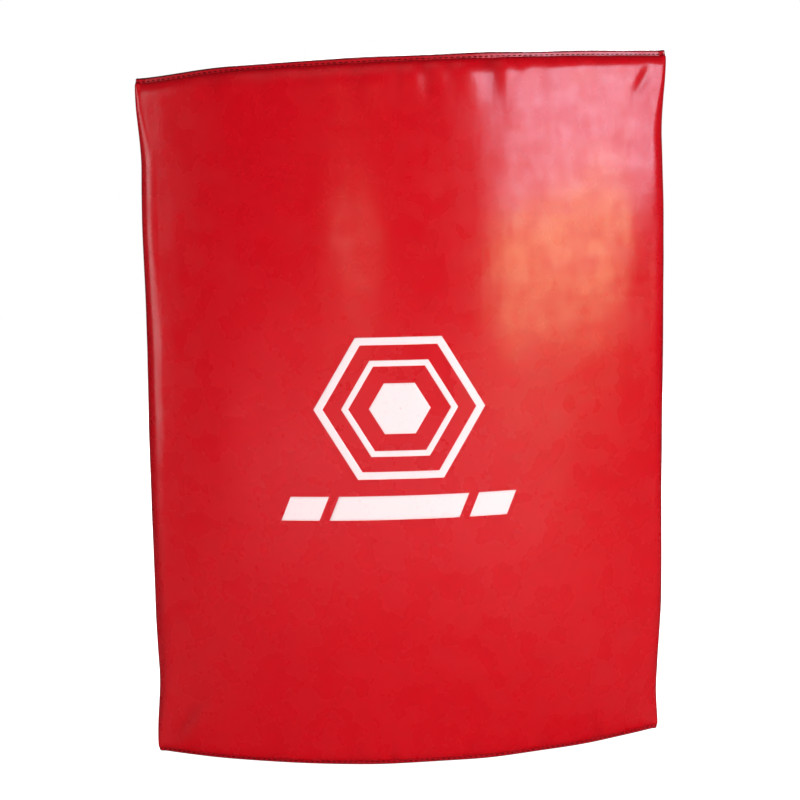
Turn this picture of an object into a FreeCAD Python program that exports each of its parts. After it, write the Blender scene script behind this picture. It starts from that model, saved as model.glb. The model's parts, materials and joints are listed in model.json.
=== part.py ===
import FreeCAD, Part
import math
import os
import Sketcher

# Large curved kick shield, in millimetres. It stands on its lower end with the striking
# face towards -Y. Every layer is a slice of a ring about one upright axis, the curve axis,
# which lies behind the shield. The origin is the middle of the bottom of the whole object.

doc = FreeCAD.newDocument("kick_shield")
sheet = doc.addObject("Spreadsheet::Sheet", "Dims")

DIMENSIONS = [
    # the padded body
    ("tall", 700), ("face_radius", 565), ("pad_depth", 150), ("half_angle", 28.5),
    ("front_corner", 12), ("rear_corner", 4),
    # cover and seams
    ("skin", 2), ("end_panel", 5), ("welt_wide", 5), ("welt_high", 6), ("welt_lift", 1),
    ("piping_radius", 2.8), ("panel_trim", 0.8), ("end_trim", 0.75), ("foam_trim", 0.4),
    ("rear_slack", 6), ("spacing", 0.3),
    # foam layers
    ("strike_foam", 22), ("core_foam", 50), ("foam_corner", 10),
    # zip on the back panel
    ("slot_wide", 13), ("slot_low", 125), ("slot_high", 585), ("tape_wide", 14),
    ("tape_thick", 1.2), ("tape_past", 8), ("tape_depth", 4.4), ("coil_wide", 3.2),
    ("coil_thick", 2.5), ("coil_depth", 2.9), ("stop_long", 3),
    ("slider_low", 132), ("slider_long", 15), ("slider_wide", 12), ("slider_top", 2.8),
    ("slider_sink", 2.4), ("channel_wide", 7.8), ("channel_top", 0.6),
    ("arch_wide", 3), ("arch_inset", 3), ("arch_wall", 1.3), ("arch_top", 6.9),
    ("pull_wide", 9), ("pull_thick", 1.6), ("pull_out", 4.2), ("pull_bar", 2),
    ("pull_drop", 33), ("window_wide", 4.4), ("window_long", 10.7),
    # vent eyelets
    ("vent_angle", 22), ("vent_low", 60), ("vent_hole", 6), ("vent_barrel", 4.5),
    ("vent_bore", 3.2), ("vent_flange", 8.5), ("vent_lip", 1),
    # hand grips
    ("grip_angle", 17), ("upper_row", 475), ("lower_row", 230), ("patch_thick", 1.6),
    ("grip_patch_half", 3.75), ("grip_patch_long", 216), ("web_wide", 25), ("foot_lift", 2.2),
    ("foot_thick", 3), ("grip_foot_in", 74), ("grip_foot_out", 104), ("rivet_radius", 4.2),
    ("rivet_thick", 2), ("rivet_in", 82), ("rivet_out", 97), ("rivet_round", 1.2),
    ("loop_low", 10), ("loop_high", 50), ("loop_base", 72), ("loop_top", 60),
    ("loop_thick", 4), ("loop_inset", 2.8), ("loop_round", 12),
    ("sleeve_long", 92), ("sleeve_wide", 34), ("sleeve_deep", 26), ("sleeve_slot", 0.3),
    # forearm straps
    ("strap_angle", 13.5), ("strap_wide", 50), ("strap_thick", 3), ("strap_rise", 60),
    ("strap_patch_half", 4.9), ("strap_patch_long", 230), ("strap_lift", 2.6),
    ("strap_out", 112), ("strap_in", 84), ("strap_crest", 62), ("strap_hip", 50.3),
    ("strap_lean", 2), ("strap_lap", 3.3), ("strap_round", 15), ("strap_inner_round", 12),
    ("sleeve_pad_thick", 8.6), ("sleeve_pad_low", 40), ("sleeve_pad_high", 50),
    ("sleeve_pad_wide", 56), ("sleeve_pad_round", 3),
    ("ring_out", 8), ("ring_drop", 84), ("ring_lean", 35), ("ring_long", 17),
    ("ring_wire", 2), ("ring_inside", 54), ("ring_wide", 62), ("ring_round", 1.7),
    ("turn_inner", 4), ("turn_outer", 7), ("turn_inner_round", 3.5), ("turn_outer_round", 6.5),
    ("tail_start", 5.2), ("tail_gap", 5.9), ("tail_end", 20), ("tail_clear", 0.6),
    ("tail_hip", 1.2), ("tab_wide", 48), ("tab_out", 113), ("tab_in", 90),
    ("tab_thick", 4.4), ("tab_wall", 4.6), ("tab_bore", 2.3),
]

for row, (alias, number) in enumerate(DIMENSIONS, start=1):
    sheet.set("A%d" % row, alias)
    sheet.set("B%d" % row, str(number))
    sheet.setAlias("B%d" % row, alias)
doc.recompute()

# Distances derived from the cells, as expressions. OUT_ZERO is the back panel's rear
# surface in the middle of a station's own frame; "out" means away from that surface.
BACK_RADIUS = "(Dims.face_radius - Dims.pad_depth)"
STRAP_REACH = "(Dims.strap_rise + Dims.tail_clear + Dims.strap_thick)"
REAR_REACH = (
    f"(({BACK_RADIUS} - {STRAP_REACH}) * cos(Dims.strap_angle * 1 deg)"
    " - Dims.strap_wide / 2 * sin(Dims.strap_angle * 1 deg))"
)
AXIS_BACK = f"((Dims.face_radius + {REAR_REACH}) / 2)"
OUT_ZERO = f"({AXIS_BACK} - {BACK_RADIUS})"
BOARD_RADIUS = f"({BACK_RADIUS} + Dims.rear_slack)"
COVER_LOW = "(Dims.welt_lift + Dims.welt_high + Dims.spacing)"
COVER_TALL = f"(Dims.tall - 2 * {COVER_LOW} + Dims.welt_lift)"
SLOT_TALL = "(Dims.slot_high - Dims.slot_low)"

subparts = []


def value(expression):
    """The number that an expression on the sheet's cells gives."""
    return float(sheet.evalExpression(expression))


def out(distance):
    """A distance out from the back panel, as a coordinate in a station's own frame."""
    return f"{OUT_ZERO} + {distance}"


def new_body(label):
    """An empty body that will be one sub-part."""
    body = doc.addObject("PartDesign::Body", label)
    body.Label = label
    body.AllowCompound = True
    subparts.append(body)
    return body


def swing_round(body, angle, height="0"):
    """Turns a body about the curve axis by an angle, and lifts it."""
    body.Placement.Rotation = FreeCAD.Rotation(FreeCAD.Vector(0, 0, 1), 1)
    body.setExpression("Placement.Rotation.Angle", f"{angle} * 1 deg")
    body.setExpression("Placement.Base.x", f"{AXIS_BACK} * sin({angle} * 1 deg)")
    body.setExpression("Placement.Base.y", f"{AXIS_BACK} * (1 - cos({angle} * 1 deg))")
    body.setExpression("Placement.Base.z", height)


def new_sketch(body, role, offset):
    """A sketch on one of the body's own origin planes, moved along its normal."""
    plane = next(item for item in body.Origin.OriginFeatures if item.Role == role)
    sketch = body.newObject("Sketcher::SketchObject", "Outline")
    sketch.AttachmentSupport = [(plane, "")]
    sketch.MapMode = "FlatFace"
    sketch.setExpression("AttachmentOffset.Base.z", offset)
    return sketch


def bind(sketch, constraint, expression):
    """Adds a constraint and ties its number to the sheet."""
    index = sketch.addConstraint(constraint)
    sketch.setExpression(f"Constraints[{index}]", expression)


def polygons(body, role, loops, offset="0"):
    """Closed polygons in one sketch; each corner is a pair of expressions."""
    sketch = new_sketch(body, role, offset)
    for corners in loops:
        first = sketch.GeometryCount
        count = len(corners)
        points = [FreeCAD.Vector(value(x), value(y), 0) for x, y in corners]
        for start, end in zip(points, points[1:] + points[:1]):
            sketch.addGeometry(Part.LineSegment(start, end), False)
        for side in range(count):
            following = first + (side + 1) % count
            joined = Sketcher.Constraint("Coincident", first + side, 2, following, 1)
            sketch.addConstraint(joined)
        for side, (x, y) in enumerate(corners):
            across = Sketcher.Constraint("DistanceX", -1, 1, first + side, 1, value(x))
            bind(sketch, across, x)
            along = Sketcher.Constraint("DistanceY", -1, 1, first + side, 1, value(y))
            bind(sketch, along, y)
    doc.recompute()
    return sketch


def box_corners(low_x, high_x, low_y, high_y):
    """The four corners of an upright rectangle."""
    return [(low_x, low_y), (high_x, low_y), (high_x, high_y), (low_x, high_y)]


def circles(body, role, places, offset="0"):
    """Circles in one sketch; each is a centre and a radius, as expressions."""
    sketch = new_sketch(body, role, offset)
    upright = FreeCAD.Vector(0, 0, 1)
    for index, (x, y, radius) in enumerate(places):
        centre = FreeCAD.Vector(value(x), value(y), 0)
        sketch.addGeometry(Part.Circle(centre, upright, value(radius)), False)
        bind(sketch, Sketcher.Constraint("Radius", index, value(radius)), radius)
        across = Sketcher.Constraint("DistanceX", -1, 1, index, 3, value(x))
        bind(sketch, across, x)
        along = Sketcher.Constraint("DistanceY", -1, 1, index, 3, value(y))
        bind(sketch, along, y)
    doc.recompute()
    return sketch


def arc_about(centre, radius, start, end):
    """An arc that runs anticlockwise between two directions, in radians."""
    circle = Part.Circle(centre, FreeCAD.Vector(0, 0, 1), radius)
    return Part.ArcOfCircle(circle, start, end)


def sector(body, outer, inner, half, low, corner=None):
    """A slice of a ring about the curve axis, even on both sides of -Y.

    Its sides are radial. With a corner radius, its two outer corners are rounded.
    """
    sketch = new_sketch(body, "XY_Plane", low)
    axis_back = value(AXIS_BACK)
    centre = FreeCAD.Vector(0, axis_back, 0)
    spread = math.radians(value(half))
    middle = -math.pi / 2
    radius = value(outer)
    bend = value(corner) if corner else 0
    face_spread = spread - math.asin(bend / (radius - bend))
    face = arc_about(centre, radius, middle - face_spread, middle + face_spread)
    rear = arc_about(centre, value(inner), middle - spread, middle + spread)
    starts = [face.StartPoint, face.EndPoint]
    bends = []
    if corner:
        for side in (-1, 1):
            reach = radius - bend
            place = FreeCAD.Vector(side * reach * math.sin(face_spread),
                                   axis_back - reach * math.cos(face_spread), 0)
            outward = middle + side * face_spread
            sideways = middle + side * (spread + math.pi / 2)
            bends.append(arc_about(place, bend, min(outward, sideways), max(outward, sideways)))
        starts = [bends[0].StartPoint, bends[1].EndPoint]
    lines = [Part.LineSegment(starts[0], rear.StartPoint),
             Part.LineSegment(starts[1], rear.EndPoint)]
    for curve in (face, rear, *lines, *bends):
        sketch.addGeometry(curve, False)

    joins = [("Coincident", 2, 2, 1, 1), ("Coincident", 3, 2, 1, 2), ("Coincident", 0, 3, 1, 3),
             ("PointOnObject", 0, 3, 2), ("PointOnObject", 0, 3, 3), ("PointOnObject", 0, 3, -2)]
    if corner:
        joins += [("Tangent", 4, 2, 0, 1), ("Tangent", 4, 1, 2, 1), ("Tangent", 0, 2, 5, 1),
                  ("Tangent", 5, 2, 3, 1), ("Equal", 4, 5)]
    else:
        joins += [("Coincident", 2, 1, 0, 1), ("Coincident", 3, 1, 0, 2)]
    for join in joins:
        sketch.addConstraint(Sketcher.Constraint(*join))
    bind(sketch, Sketcher.Constraint("DistanceY", -1, 1, 0, 3, axis_back), AXIS_BACK)
    bind(sketch, Sketcher.Constraint("Radius", 0, radius), outer)
    bind(sketch, Sketcher.Constraint("Radius", 1, value(inner)), inner)
    if corner:
        bind(sketch, Sketcher.Constraint("Radius", 4, bend), corner)
    for end, side in ((1, "-1"), (2, "1")):
        edge = f"{side} * ({inner}) * sin(({half}) * 1 deg)"
        bind(sketch, Sketcher.Constraint("DistanceX", -1, 1, 1, end, value(edge)), edge)
    doc.recompute()
    return sketch


def pad(body, sketch, length, both_ways=False):
    """Extrudes a sketch, one way or evenly both ways."""
    feature = body.newObject("PartDesign::Pad", "Block")
    feature.Profile = sketch
    feature.SideType = "Symmetric" if both_ways else "One side"
    feature.setExpression("Length", length)
    doc.recompute()
    return feature


def pocket(body, sketch, length):
    """Cuts a sketch evenly both ways, and makes sure that something was cut."""
    before = body.Shape.Volume
    feature = body.newObject("PartDesign::Pocket", "Cut")
    feature.Profile = sketch
    feature.SideType = "Symmetric"
    feature.setExpression("Length", length)
    doc.recompute()
    if body.Shape.Volume >= before:
        raise RuntimeError(f"{body.Label}: a pocket cut nothing")
    return feature


def rounded(body, chosen, radius):
    """Rounds the edges of the body's last feature that a test picks."""
    base = body.Tip
    names = []
    for number, edge in enumerate(base.Shape.Edges, start=1):
        if chosen(edge):
            names.append(f"Edge{number}")
    if not names:
        raise RuntimeError(f"{body.Label}: no edge to round")
    feature = body.newObject("PartDesign::Fillet", "Rounded")
    feature.Base = (base, names)
    feature.setExpression("Radius", radius)
    doc.recompute()
    return feature


def runs_along(edge, direction):
    """Whether a straight edge runs along a direction."""
    if len(edge.Vertexes) != 2:
        return False
    run = edge.Vertexes[1].Point - edge.Vertexes[0].Point
    return abs(abs(run.dot(direction)) - edge.Length) < 1e-6


def upright_edges(radius):
    """A test for upright edges at a distance from the curve axis."""
    wanted = value(radius)
    axis_back = value(AXIS_BACK)

    def chosen(edge):
        if not runs_along(edge, FreeCAD.Vector(0, 0, 1)):
            return False
        point = edge.Vertexes[0].Point
        return abs(math.hypot(point.x, point.y - axis_back) - wanted) < 1e-4

    return chosen


def edges_near(spots, reach):
    """A test for edges across the shield that pass near places out from a station."""
    places = [(value(out(x)), value(z)) for x, z in spots]

    def chosen(edge):
        if not runs_along(edge, FreeCAD.Vector(1, 0, 0)):
            return False
        point = edge.Vertexes[0].Point
        return any(math.hypot(point.y - y, point.z - z) < reach for y, z in places)

    return chosen


def slice_body(label, outer, inner, half, low, length, corner=None):
    """A sub-part that is one slice of a ring."""
    body = new_body(label)
    pad(body, sector(body, outer, inner, half, low, corner), length)
    return body


# ---- cover ---------------------------------------------------------------------------

def narrower(amount):
    """The half angle of a slice whose sides stand in by an amount at mid depth."""
    middle = "(Dims.face_radius - Dims.pad_depth / 2)"
    return f"(Dims.half_angle - {amount} / {middle} * 1 rad / 1 deg)"


def front_cover():
    """Striking face and both sides in one skin, open at the back and at both ends."""
    rear = f"({BOARD_RADIUS} + Dims.spacing)"
    body = slice_body("front_cover", "Dims.face_radius", rear, "Dims.half_angle",
                      COVER_LOW, COVER_TALL, "Dims.front_corner")
    hollow = sector(body, "Dims.face_radius - Dims.skin", f"{rear} - Dims.skin",
                    narrower("Dims.skin"), "Dims.tall / 2", "Dims.front_corner - Dims.skin")
    pocket(body, hollow, "Dims.tall * 2")


def back_panel():
    """Rear skin, with a slot for the zip and four vent holes."""
    body = slice_body("back_panel", f"{BACK_RADIUS} + Dims.skin", BACK_RADIUS,
                      "Dims.half_angle - Dims.panel_trim", COVER_LOW, COVER_TALL)
    half_slot = "Dims.slot_wide / 2"
    slot = box_corners(f"-{half_slot}", half_slot, "Dims.slot_low", "Dims.slot_high")
    middle = f"-({OUT_ZERO})"
    pocket(body, polygons(body, "XZ_Plane", [slot], middle), "Dims.rear_slack * 2")
    across = f"{BACK_RADIUS} * sin(Dims.vent_angle * 1 deg)"
    holes = []
    for side in ("-1", "1"):
        for height in ("Dims.vent_low", "Dims.tall - Dims.vent_low"):
            holes.append((f"{side} * {across}", height, "Dims.vent_hole"))
    pocket(body, circles(body, "XZ_Plane", holes, middle), "Dims.pad_depth")


def end_panel(label, low):
    """Flat panel that closes one end, inside the welt."""
    outer = "(Dims.face_radius - Dims.welt_wide - Dims.spacing)"
    inner = f"({BACK_RADIUS} + Dims.welt_wide + Dims.spacing)"
    slice_body(label, outer, inner, "Dims.half_angle - Dims.end_trim", low,
               "Dims.end_panel", "Dims.front_corner - Dims.welt_wide")


def welt(label, low):
    """Closed seam ridge round the edge of one end."""
    body = slice_body(label, "Dims.face_radius", BACK_RADIUS, "Dims.half_angle", low,
                      "Dims.welt_high", "Dims.front_corner")
    rounded(body, upright_edges(BACK_RADIUS), "Dims.rear_corner")
    hollow = sector(body, "Dims.face_radius - Dims.welt_wide",
                    f"{BACK_RADIUS} + Dims.welt_wide", narrower("Dims.welt_wide"), low,
                    "Dims.front_corner - Dims.welt_wide")
    pocket(body, hollow, "Dims.welt_high * 3")


def rear_piping(label, side):
    """Corded seam down one rear corner."""
    cord = doc.addObject("Part::Cylinder", label)
    cord.Label = label
    radius = f"({BACK_RADIUS} + Dims.piping_radius - 0.6)"
    inset = f"({side} * (Dims.half_angle * 1 deg - Dims.piping_radius / {radius} * 1 rad))"
    cord.setExpression("Radius", "Dims.piping_radius")
    cord.setExpression("Height", COVER_TALL)
    cord.setExpression("Placement.Base.x", f"{radius} * sin({inset})")
    cord.setExpression("Placement.Base.y", f"{AXIS_BACK} - {radius} * cos({inset})")
    cord.setExpression("Placement.Base.z", COVER_LOW)
    subparts.append(cord)
    doc.recompute()


def vent_eyelets():
    """Four pressed eyelets that let air out of the cover."""
    eyelets = []
    for side in ("-1", "1"):
        for height in ("Dims.vent_low", "Dims.tall - Dims.vent_low"):
            body = doc.addObject("PartDesign::Body", "Eyelet")
            swing_round(body, f"({side} * Dims.vent_angle)", height)
            rear = f"-({out('Dims.vent_lip / 2 + 0.1')})"
            barrel = f"-({out('-1 * Dims.skin / 2')})"
            flange = circles(body, "XZ_Plane", [("0", "0", "Dims.vent_flange")], rear)
            pad(body, flange, "Dims.vent_lip", both_ways=True)
            stem = circles(body, "XZ_Plane", [("0", "0", "Dims.vent_barrel")], barrel)
            pad(body, stem, "Dims.skin * 2", both_ways=True)
            bore = circles(body, "XZ_Plane", [("0", "0", "Dims.vent_bore")], barrel)
            pocket(body, bore, "Dims.pad_depth")
            eyelets.append(body)
    group = doc.addObject("Part::Compound", "vent_eyelets")
    group.Label = "vent_eyelets"
    group.Links = eyelets
    subparts.append(group)
    doc.recompute()


# ---- foam ----------------------------------------------------------------------------

def foam_layers():
    """Dense strike sheet, two core blocks and a stiff rear board, from front to back."""
    half = "Dims.half_angle - Dims.foam_trim"
    radius = "(Dims.face_radius - Dims.skin)"
    layers = [("strike_foam", "Dims.strike_foam"), ("front_core_foam", "Dims.core_foam"),
              ("rear_core_foam", "Dims.core_foam")]
    for label, thick in layers:
        front = f"({radius} - Dims.spacing)"
        radius = f"({radius} - {thick})"
        corner = "Dims.foam_corner" if label == "strike_foam" else None
        slice_body(label, front, radius, half, COVER_LOW, COVER_TALL, corner)
    slice_body("rear_foam_board", f"{radius} - Dims.spacing", BOARD_RADIUS, half,
               COVER_LOW, COVER_TALL)


# ---- zip -----------------------------------------------------------------------------

def zip_tape(label, side):
    """Woven tape under one edge of the slot."""
    outer = f"({BACK_RADIUS} + Dims.tape_depth)"
    half = f"(Dims.tape_wide / 2 / {outer} * 1 rad / 1 deg)"
    middle = f"({side} * (Dims.tape_wide / 2 + 1) / {outer} * 1 rad / 1 deg)"
    body = slice_body(label, outer, f"{outer} - Dims.tape_thick", half,
                      "Dims.slot_low - Dims.tape_past", f"{SLOT_TALL} + 2 * Dims.tape_past")
    swing_round(body, middle)


def zip_coils():
    """The two meshed coils, side by side."""
    body = new_body("zip_coils")
    low = out("-1 * Dims.coil_depth")
    high = out("-1 * Dims.coil_depth + Dims.coil_thick")
    loops = [box_corners("-Dims.coil_wide - 0.2", "-0.2", low, high),
             box_corners("0.2", "Dims.coil_wide + 0.2", low, high)]
    start = "Dims.slot_low + Dims.stop_long"
    sketch = polygons(body, "XY_Plane", loops, start)
    pad(body, sketch, f"{SLOT_TALL} - 2 * Dims.stop_long")


def zip_stops():
    """Metal stops clamped on the coils' two ends."""
    body = new_body("zip_stops")
    low = "Dims.slot_low + 0.1"
    high = "Dims.slot_high - 0.1"
    loops = []
    for bottom, top in ((low, f"{low} + Dims.stop_long - 0.2"),
                        (f"{high} - Dims.stop_long + 0.2", high)):
        loops.append(box_corners(out("-1 * Dims.coil_depth"), out("0.3"), bottom, top))
    pad(body, polygons(body, "YZ_Plane", loops), "Dims.channel_wide", both_ways=True)


def zip_slider():
    """Slider that rides over the coils, with an arch on top for the pull."""
    body = new_body("zip_slider")
    high = "(Dims.slider_low + Dims.slider_long)"
    block = box_corners(out("-1 * Dims.slider_sink"), out("Dims.slider_top"),
                        "Dims.slider_low", high)
    pad(body, polygons(body, "YZ_Plane", [block]), "Dims.slider_wide", both_ways=True)
    arch = box_corners(out("Dims.slider_top - 0.5"), out("Dims.arch_top"),
                       "Dims.slider_low + Dims.arch_inset", f"{high} - Dims.arch_inset")
    pad(body, polygons(body, "YZ_Plane", [arch]), "Dims.arch_wide", both_ways=True)
    gap = box_corners(out("Dims.slider_top"), out("Dims.arch_top - Dims.arch_wall"),
                      "Dims.slider_low + Dims.arch_inset + Dims.arch_wall",
                      f"{high} - Dims.arch_inset - Dims.arch_wall")
    pocket(body, polygons(body, "YZ_Plane", [gap]), "Dims.slider_wide")
    half = "Dims.channel_wide / 2"
    channel = box_corners(f"-{half}", half, out("-1 * Dims.rear_slack"), out("Dims.channel_top"))
    pocket(body, polygons(body, "XY_Plane", [channel], "Dims.slider_low"), "Dims.tall / 4")


def zip_pull():
    """Flat pull whose crossbar turns under the slider's arch."""
    body = new_body("zip_pull")
    top = "(Dims.slider_low + Dims.slider_long / 2 + Dims.pull_bar / 2)"
    low = f"{top} - Dims.pull_drop"
    plate = box_corners(out("Dims.pull_out - Dims.pull_thick / 2"),
                        out("Dims.pull_out + Dims.pull_thick / 2"), low, top)
    pad(body, polygons(body, "YZ_Plane", [plate]), "Dims.pull_wide", both_ways=True)
    half = "Dims.window_wide / 2"
    window = box_corners(f"-{half}", half, f"{top} - Dims.pull_bar - Dims.window_long",
                         f"{top} - Dims.pull_bar")
    middle = f"-({out('Dims.pull_out')})"
    pocket(body, polygons(body, "XZ_Plane", [window], middle), "Dims.pull_thick * 2")


# ---- hand grips ----------------------------------------------------------------------

def sewn_patch(label, half, long, angle, height):
    """Reinforcing patch sewn on the back panel under a handle."""
    body = slice_body(label, f"{BACK_RADIUS} - 0.1", f"{BACK_RADIUS} - Dims.patch_thick", half,
                      f"-{long} / 2", long)
    swing_round(body, angle, height)


def grip_feet(label, angle, height):
    """The webbing's two ends, sewn down flat."""
    body = new_body(label)
    low = out("Dims.foot_lift")
    high = out("Dims.foot_lift + Dims.foot_thick")
    loops = [box_corners(low, high, "Dims.grip_foot_in", "Dims.grip_foot_out"),
             box_corners(low, high, "-Dims.grip_foot_out", "-Dims.grip_foot_in")]
    pad(body, polygons(body, "YZ_Plane", loops), "Dims.web_wide", both_ways=True)
    swing_round(body, angle, height)


def grip_rivets(label, angle, height):
    """Two rivet heads on each sewn end."""
    body = new_body(label)
    spots = []
    for place in ("Dims.rivet_in", "Dims.rivet_out"):
        spots.append(("0", place, "Dims.rivet_radius"))
        spots.append(("0", f"-{place}", "Dims.rivet_radius"))
    seat = "Dims.foot_lift + Dims.foot_thick + 0.1"
    middle = f"-({out(f'{seat} + Dims.rivet_thick / 2')})"
    pad(body, circles(body, "XZ_Plane", spots, middle), "Dims.rivet_thick", both_ways=True)
    top = value(out(f"{seat} + Dims.rivet_thick"))

    def crown(edge):
        return abs(edge.BoundBox.YMin - top) < 1e-6 and abs(edge.BoundBox.YMax - top) < 1e-6

    rounded(body, crown, "Dims.rivet_round")
    swing_round(body, angle, height)


def grip_webbing(label, angle, height):
    """Loop of folded webbing that carries the hand grip."""
    body = new_body(label)
    outer = [(out("Dims.loop_low"), "-Dims.loop_base"), (out("Dims.loop_high"), "-Dims.loop_top"),
             (out("Dims.loop_high"), "Dims.loop_top"), (out("Dims.loop_low"), "Dims.loop_base")]
    pad(body, polygons(body, "YZ_Plane", [outer]), "Dims.web_wide", both_ways=True)
    low = out("Dims.loop_low - Dims.loop_thick")
    high = out("Dims.loop_high - Dims.loop_thick")
    base = "(Dims.loop_base - Dims.loop_inset)"
    top = "(Dims.loop_top - Dims.loop_inset)"
    inner = [(low, f"-{base}"), (high, f"-{top}"), (high, top), (low, base)]
    pocket(body, polygons(body, "YZ_Plane", [inner]), "Dims.web_wide * 2")
    outer_spots = [("Dims.loop_high", "-Dims.loop_top"), ("Dims.loop_high", "Dims.loop_top")]
    rounded(body, edges_near(outer_spots, 1), "Dims.loop_round")
    inner_out = "Dims.loop_high - Dims.loop_thick"
    inner_spots = [(inner_out, f"-{top}"), (inner_out, top)]
    rounded(body, edges_near(inner_spots, 1), "Dims.loop_round - Dims.loop_thick")
    swing_round(body, angle, height)


def grip_sleeve(label, angle, height):
    """Moulded rubber sleeve, oval outside, with a slot for the webbing."""
    body = new_body(label)
    middle = "(Dims.loop_high - Dims.loop_thick / 2)"
    wide = "Dims.sleeve_wide / 2"
    deep = "Dims.sleeve_deep / 2"
    block = box_corners(f"-{wide}", wide, out(f"{middle} - {deep}"), out(f"{middle} + {deep}"))
    sketch = polygons(body, "XY_Plane", [block], "-Dims.sleeve_long / 2")
    pad(body, sketch, "Dims.sleeve_long")
    rounded(body, lambda edge: runs_along(edge, FreeCAD.Vector(0, 0, 1)), f"{deep} - 0.5")
    half = "(Dims.web_wide / 2 + Dims.sleeve_slot)"
    thick = "(Dims.loop_thick / 2 + Dims.sleeve_slot)"
    slot = box_corners(f"-{half}", half, out(f"{middle} - {thick}"), out(f"{middle} + {thick}"))
    pocket(body, polygons(body, "XY_Plane", [slot]), "Dims.sleeve_long * 2")
    swing_round(body, angle, height)


# ---- forearm straps ------------------------------------------------------------------

def by_ring(along, across):
    """A corner in the ring's own directions: along it from its outer bar, and across it."""
    lean = "Dims.ring_lean * 1 deg"
    run = f"(Dims.ring_long + {along})"
    return (out(f"Dims.ring_out + {run} * cos({lean}) - {across} * sin({lean})"),
            f"-Dims.ring_drop + {run} * sin({lean}) + {across} * cos({lean})")


def strap_band(label, angle, height):
    """Strap from its sewn end, over the forearm, through the ring and round its bar."""
    body = new_body(label)
    foot = "Dims.strap_lift"
    foot_top = "(Dims.strap_lift + Dims.strap_thick)"
    rise = "Dims.strap_rise"
    under = "(Dims.strap_rise - Dims.strap_thick)"
    near = "Dims.turn_inner"
    far = "Dims.turn_outer"
    corners = [(out(foot), "Dims.strap_out"), (out(foot_top), "Dims.strap_out"),
               (out(foot_top), "Dims.strap_in"), (out(rise), "Dims.strap_crest"),
               (out(rise), "-Dims.strap_hip"), by_ring("0", near),
               by_ring(f"-{near}", near), by_ring(f"-{near}", f"-{near}"),
               by_ring("0", f"-{near}"), by_ring("0", f"-{far}"),
               by_ring(f"-{far}", f"-{far}"), by_ring(f"-{far}", far), by_ring("0", far),
               (out(under), "-Dims.strap_hip + Dims.strap_lap"),
               (out(under), "Dims.strap_crest - Dims.strap_lean"),
               (out(foot), "Dims.strap_in - Dims.strap_lean")]
    pad(body, polygons(body, "YZ_Plane", [corners]), "Dims.strap_wide", both_ways=True)
    bends = [(3, "Dims.strap_round"), (4, "Dims.strap_round"),
             (13, "Dims.strap_inner_round"), (14, "Dims.strap_inner_round"),
             (6, "Dims.turn_inner_round"), (7, "Dims.turn_inner_round"),
             (10, "Dims.turn_outer_round"), (11, "Dims.turn_outer_round")]
    for corner, radius in bends:
        y, z = (value(place) for place in corners[corner])

        def chosen(edge, y=y, z=z):
            if not runs_along(edge, FreeCAD.Vector(1, 0, 0)):
                return False
            point = edge.Vertexes[0].Point
            return math.hypot(point.y - y, point.z - z) < 0.5

        rounded(body, chosen, radius)
    swing_round(body, angle, height)


def strap_pad(label, angle, height):
    """Padded sleeve on the strap's inner side, against the forearm."""
    body = new_body(label)
    top = "(Dims.strap_rise - Dims.strap_thick - Dims.spacing)"
    block = box_corners(out(f"{top} - Dims.sleeve_pad_thick"), out(top),
                        "-Dims.sleeve_pad_low", "Dims.sleeve_pad_high")
    pad(body, polygons(body, "YZ_Plane", [block]), "Dims.sleeve_pad_wide", both_ways=True)
    rounded(body, lambda edge: runs_along(edge, FreeCAD.Vector(1, 0, 0)),
            "Dims.sleeve_pad_round")
    swing_round(body, angle, height)


def strap_tail(label, angle, height):
    """Hook-and-loop tail that folds back from the ring and lies on the strap."""
    body = new_body(label)
    gap = "Dims.tail_gap"
    under = "(Dims.strap_rise + Dims.tail_clear)"
    over = STRAP_REACH
    hip = "(Dims.strap_hip + Dims.tail_hip)"
    corners = [by_ring("Dims.tail_start", f"-{gap}"),
               by_ring("Dims.tail_start", f"-({gap} + Dims.strap_thick)"),
               (out(over), f"-({hip} + Dims.strap_lean)"), (out(over), "Dims.tail_end"),
               (out(under), "Dims.tail_end"), (out(under), f"-{hip}")]
    pad(body, polygons(body, "YZ_Plane", [corners]), "Dims.strap_wide", both_ways=True)
    y, z = (value(place) for place in corners[2])

    def hip_edge(edge):
        if not runs_along(edge, FreeCAD.Vector(1, 0, 0)):
            return False
        point = edge.Vertexes[0].Point
        return math.hypot(point.y - y, point.z - z) < 0.5

    rounded(body, hip_edge, "Dims.strap_round")
    swing_round(body, angle, height)


def strap_ring(label, angle, height):
    """Rectangular ring: outer bar in the strap's fold, inner bar in the sewn tab."""
    body = new_body(label)
    wire = "Dims.ring_wire"
    long = "Dims.ring_long"
    plate = [by_ring(wire, wire), by_ring(wire, f"-{wire}"),
             by_ring(f"-({long} + {wire})", f"-{wire}"), by_ring(f"-({long} + {wire})", wire)]
    pad(body, polygons(body, "YZ_Plane", [plate]), "Dims.ring_wide", both_ways=True)
    deep = f"({wire} * 2)"
    hole = [by_ring(f"-{wire}", deep), by_ring(f"-{wire}", f"-{deep}"),
            by_ring(f"-({long} - {wire})", f"-{deep}"), by_ring(f"-({long} - {wire})", deep)]
    pocket(body, polygons(body, "YZ_Plane", [hole]), "Dims.ring_inside")
    rounded(body, lambda edge: runs_along(edge, FreeCAD.Vector(1, 0, 0)), "Dims.ring_round")
    swing_round(body, angle, height)


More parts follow.
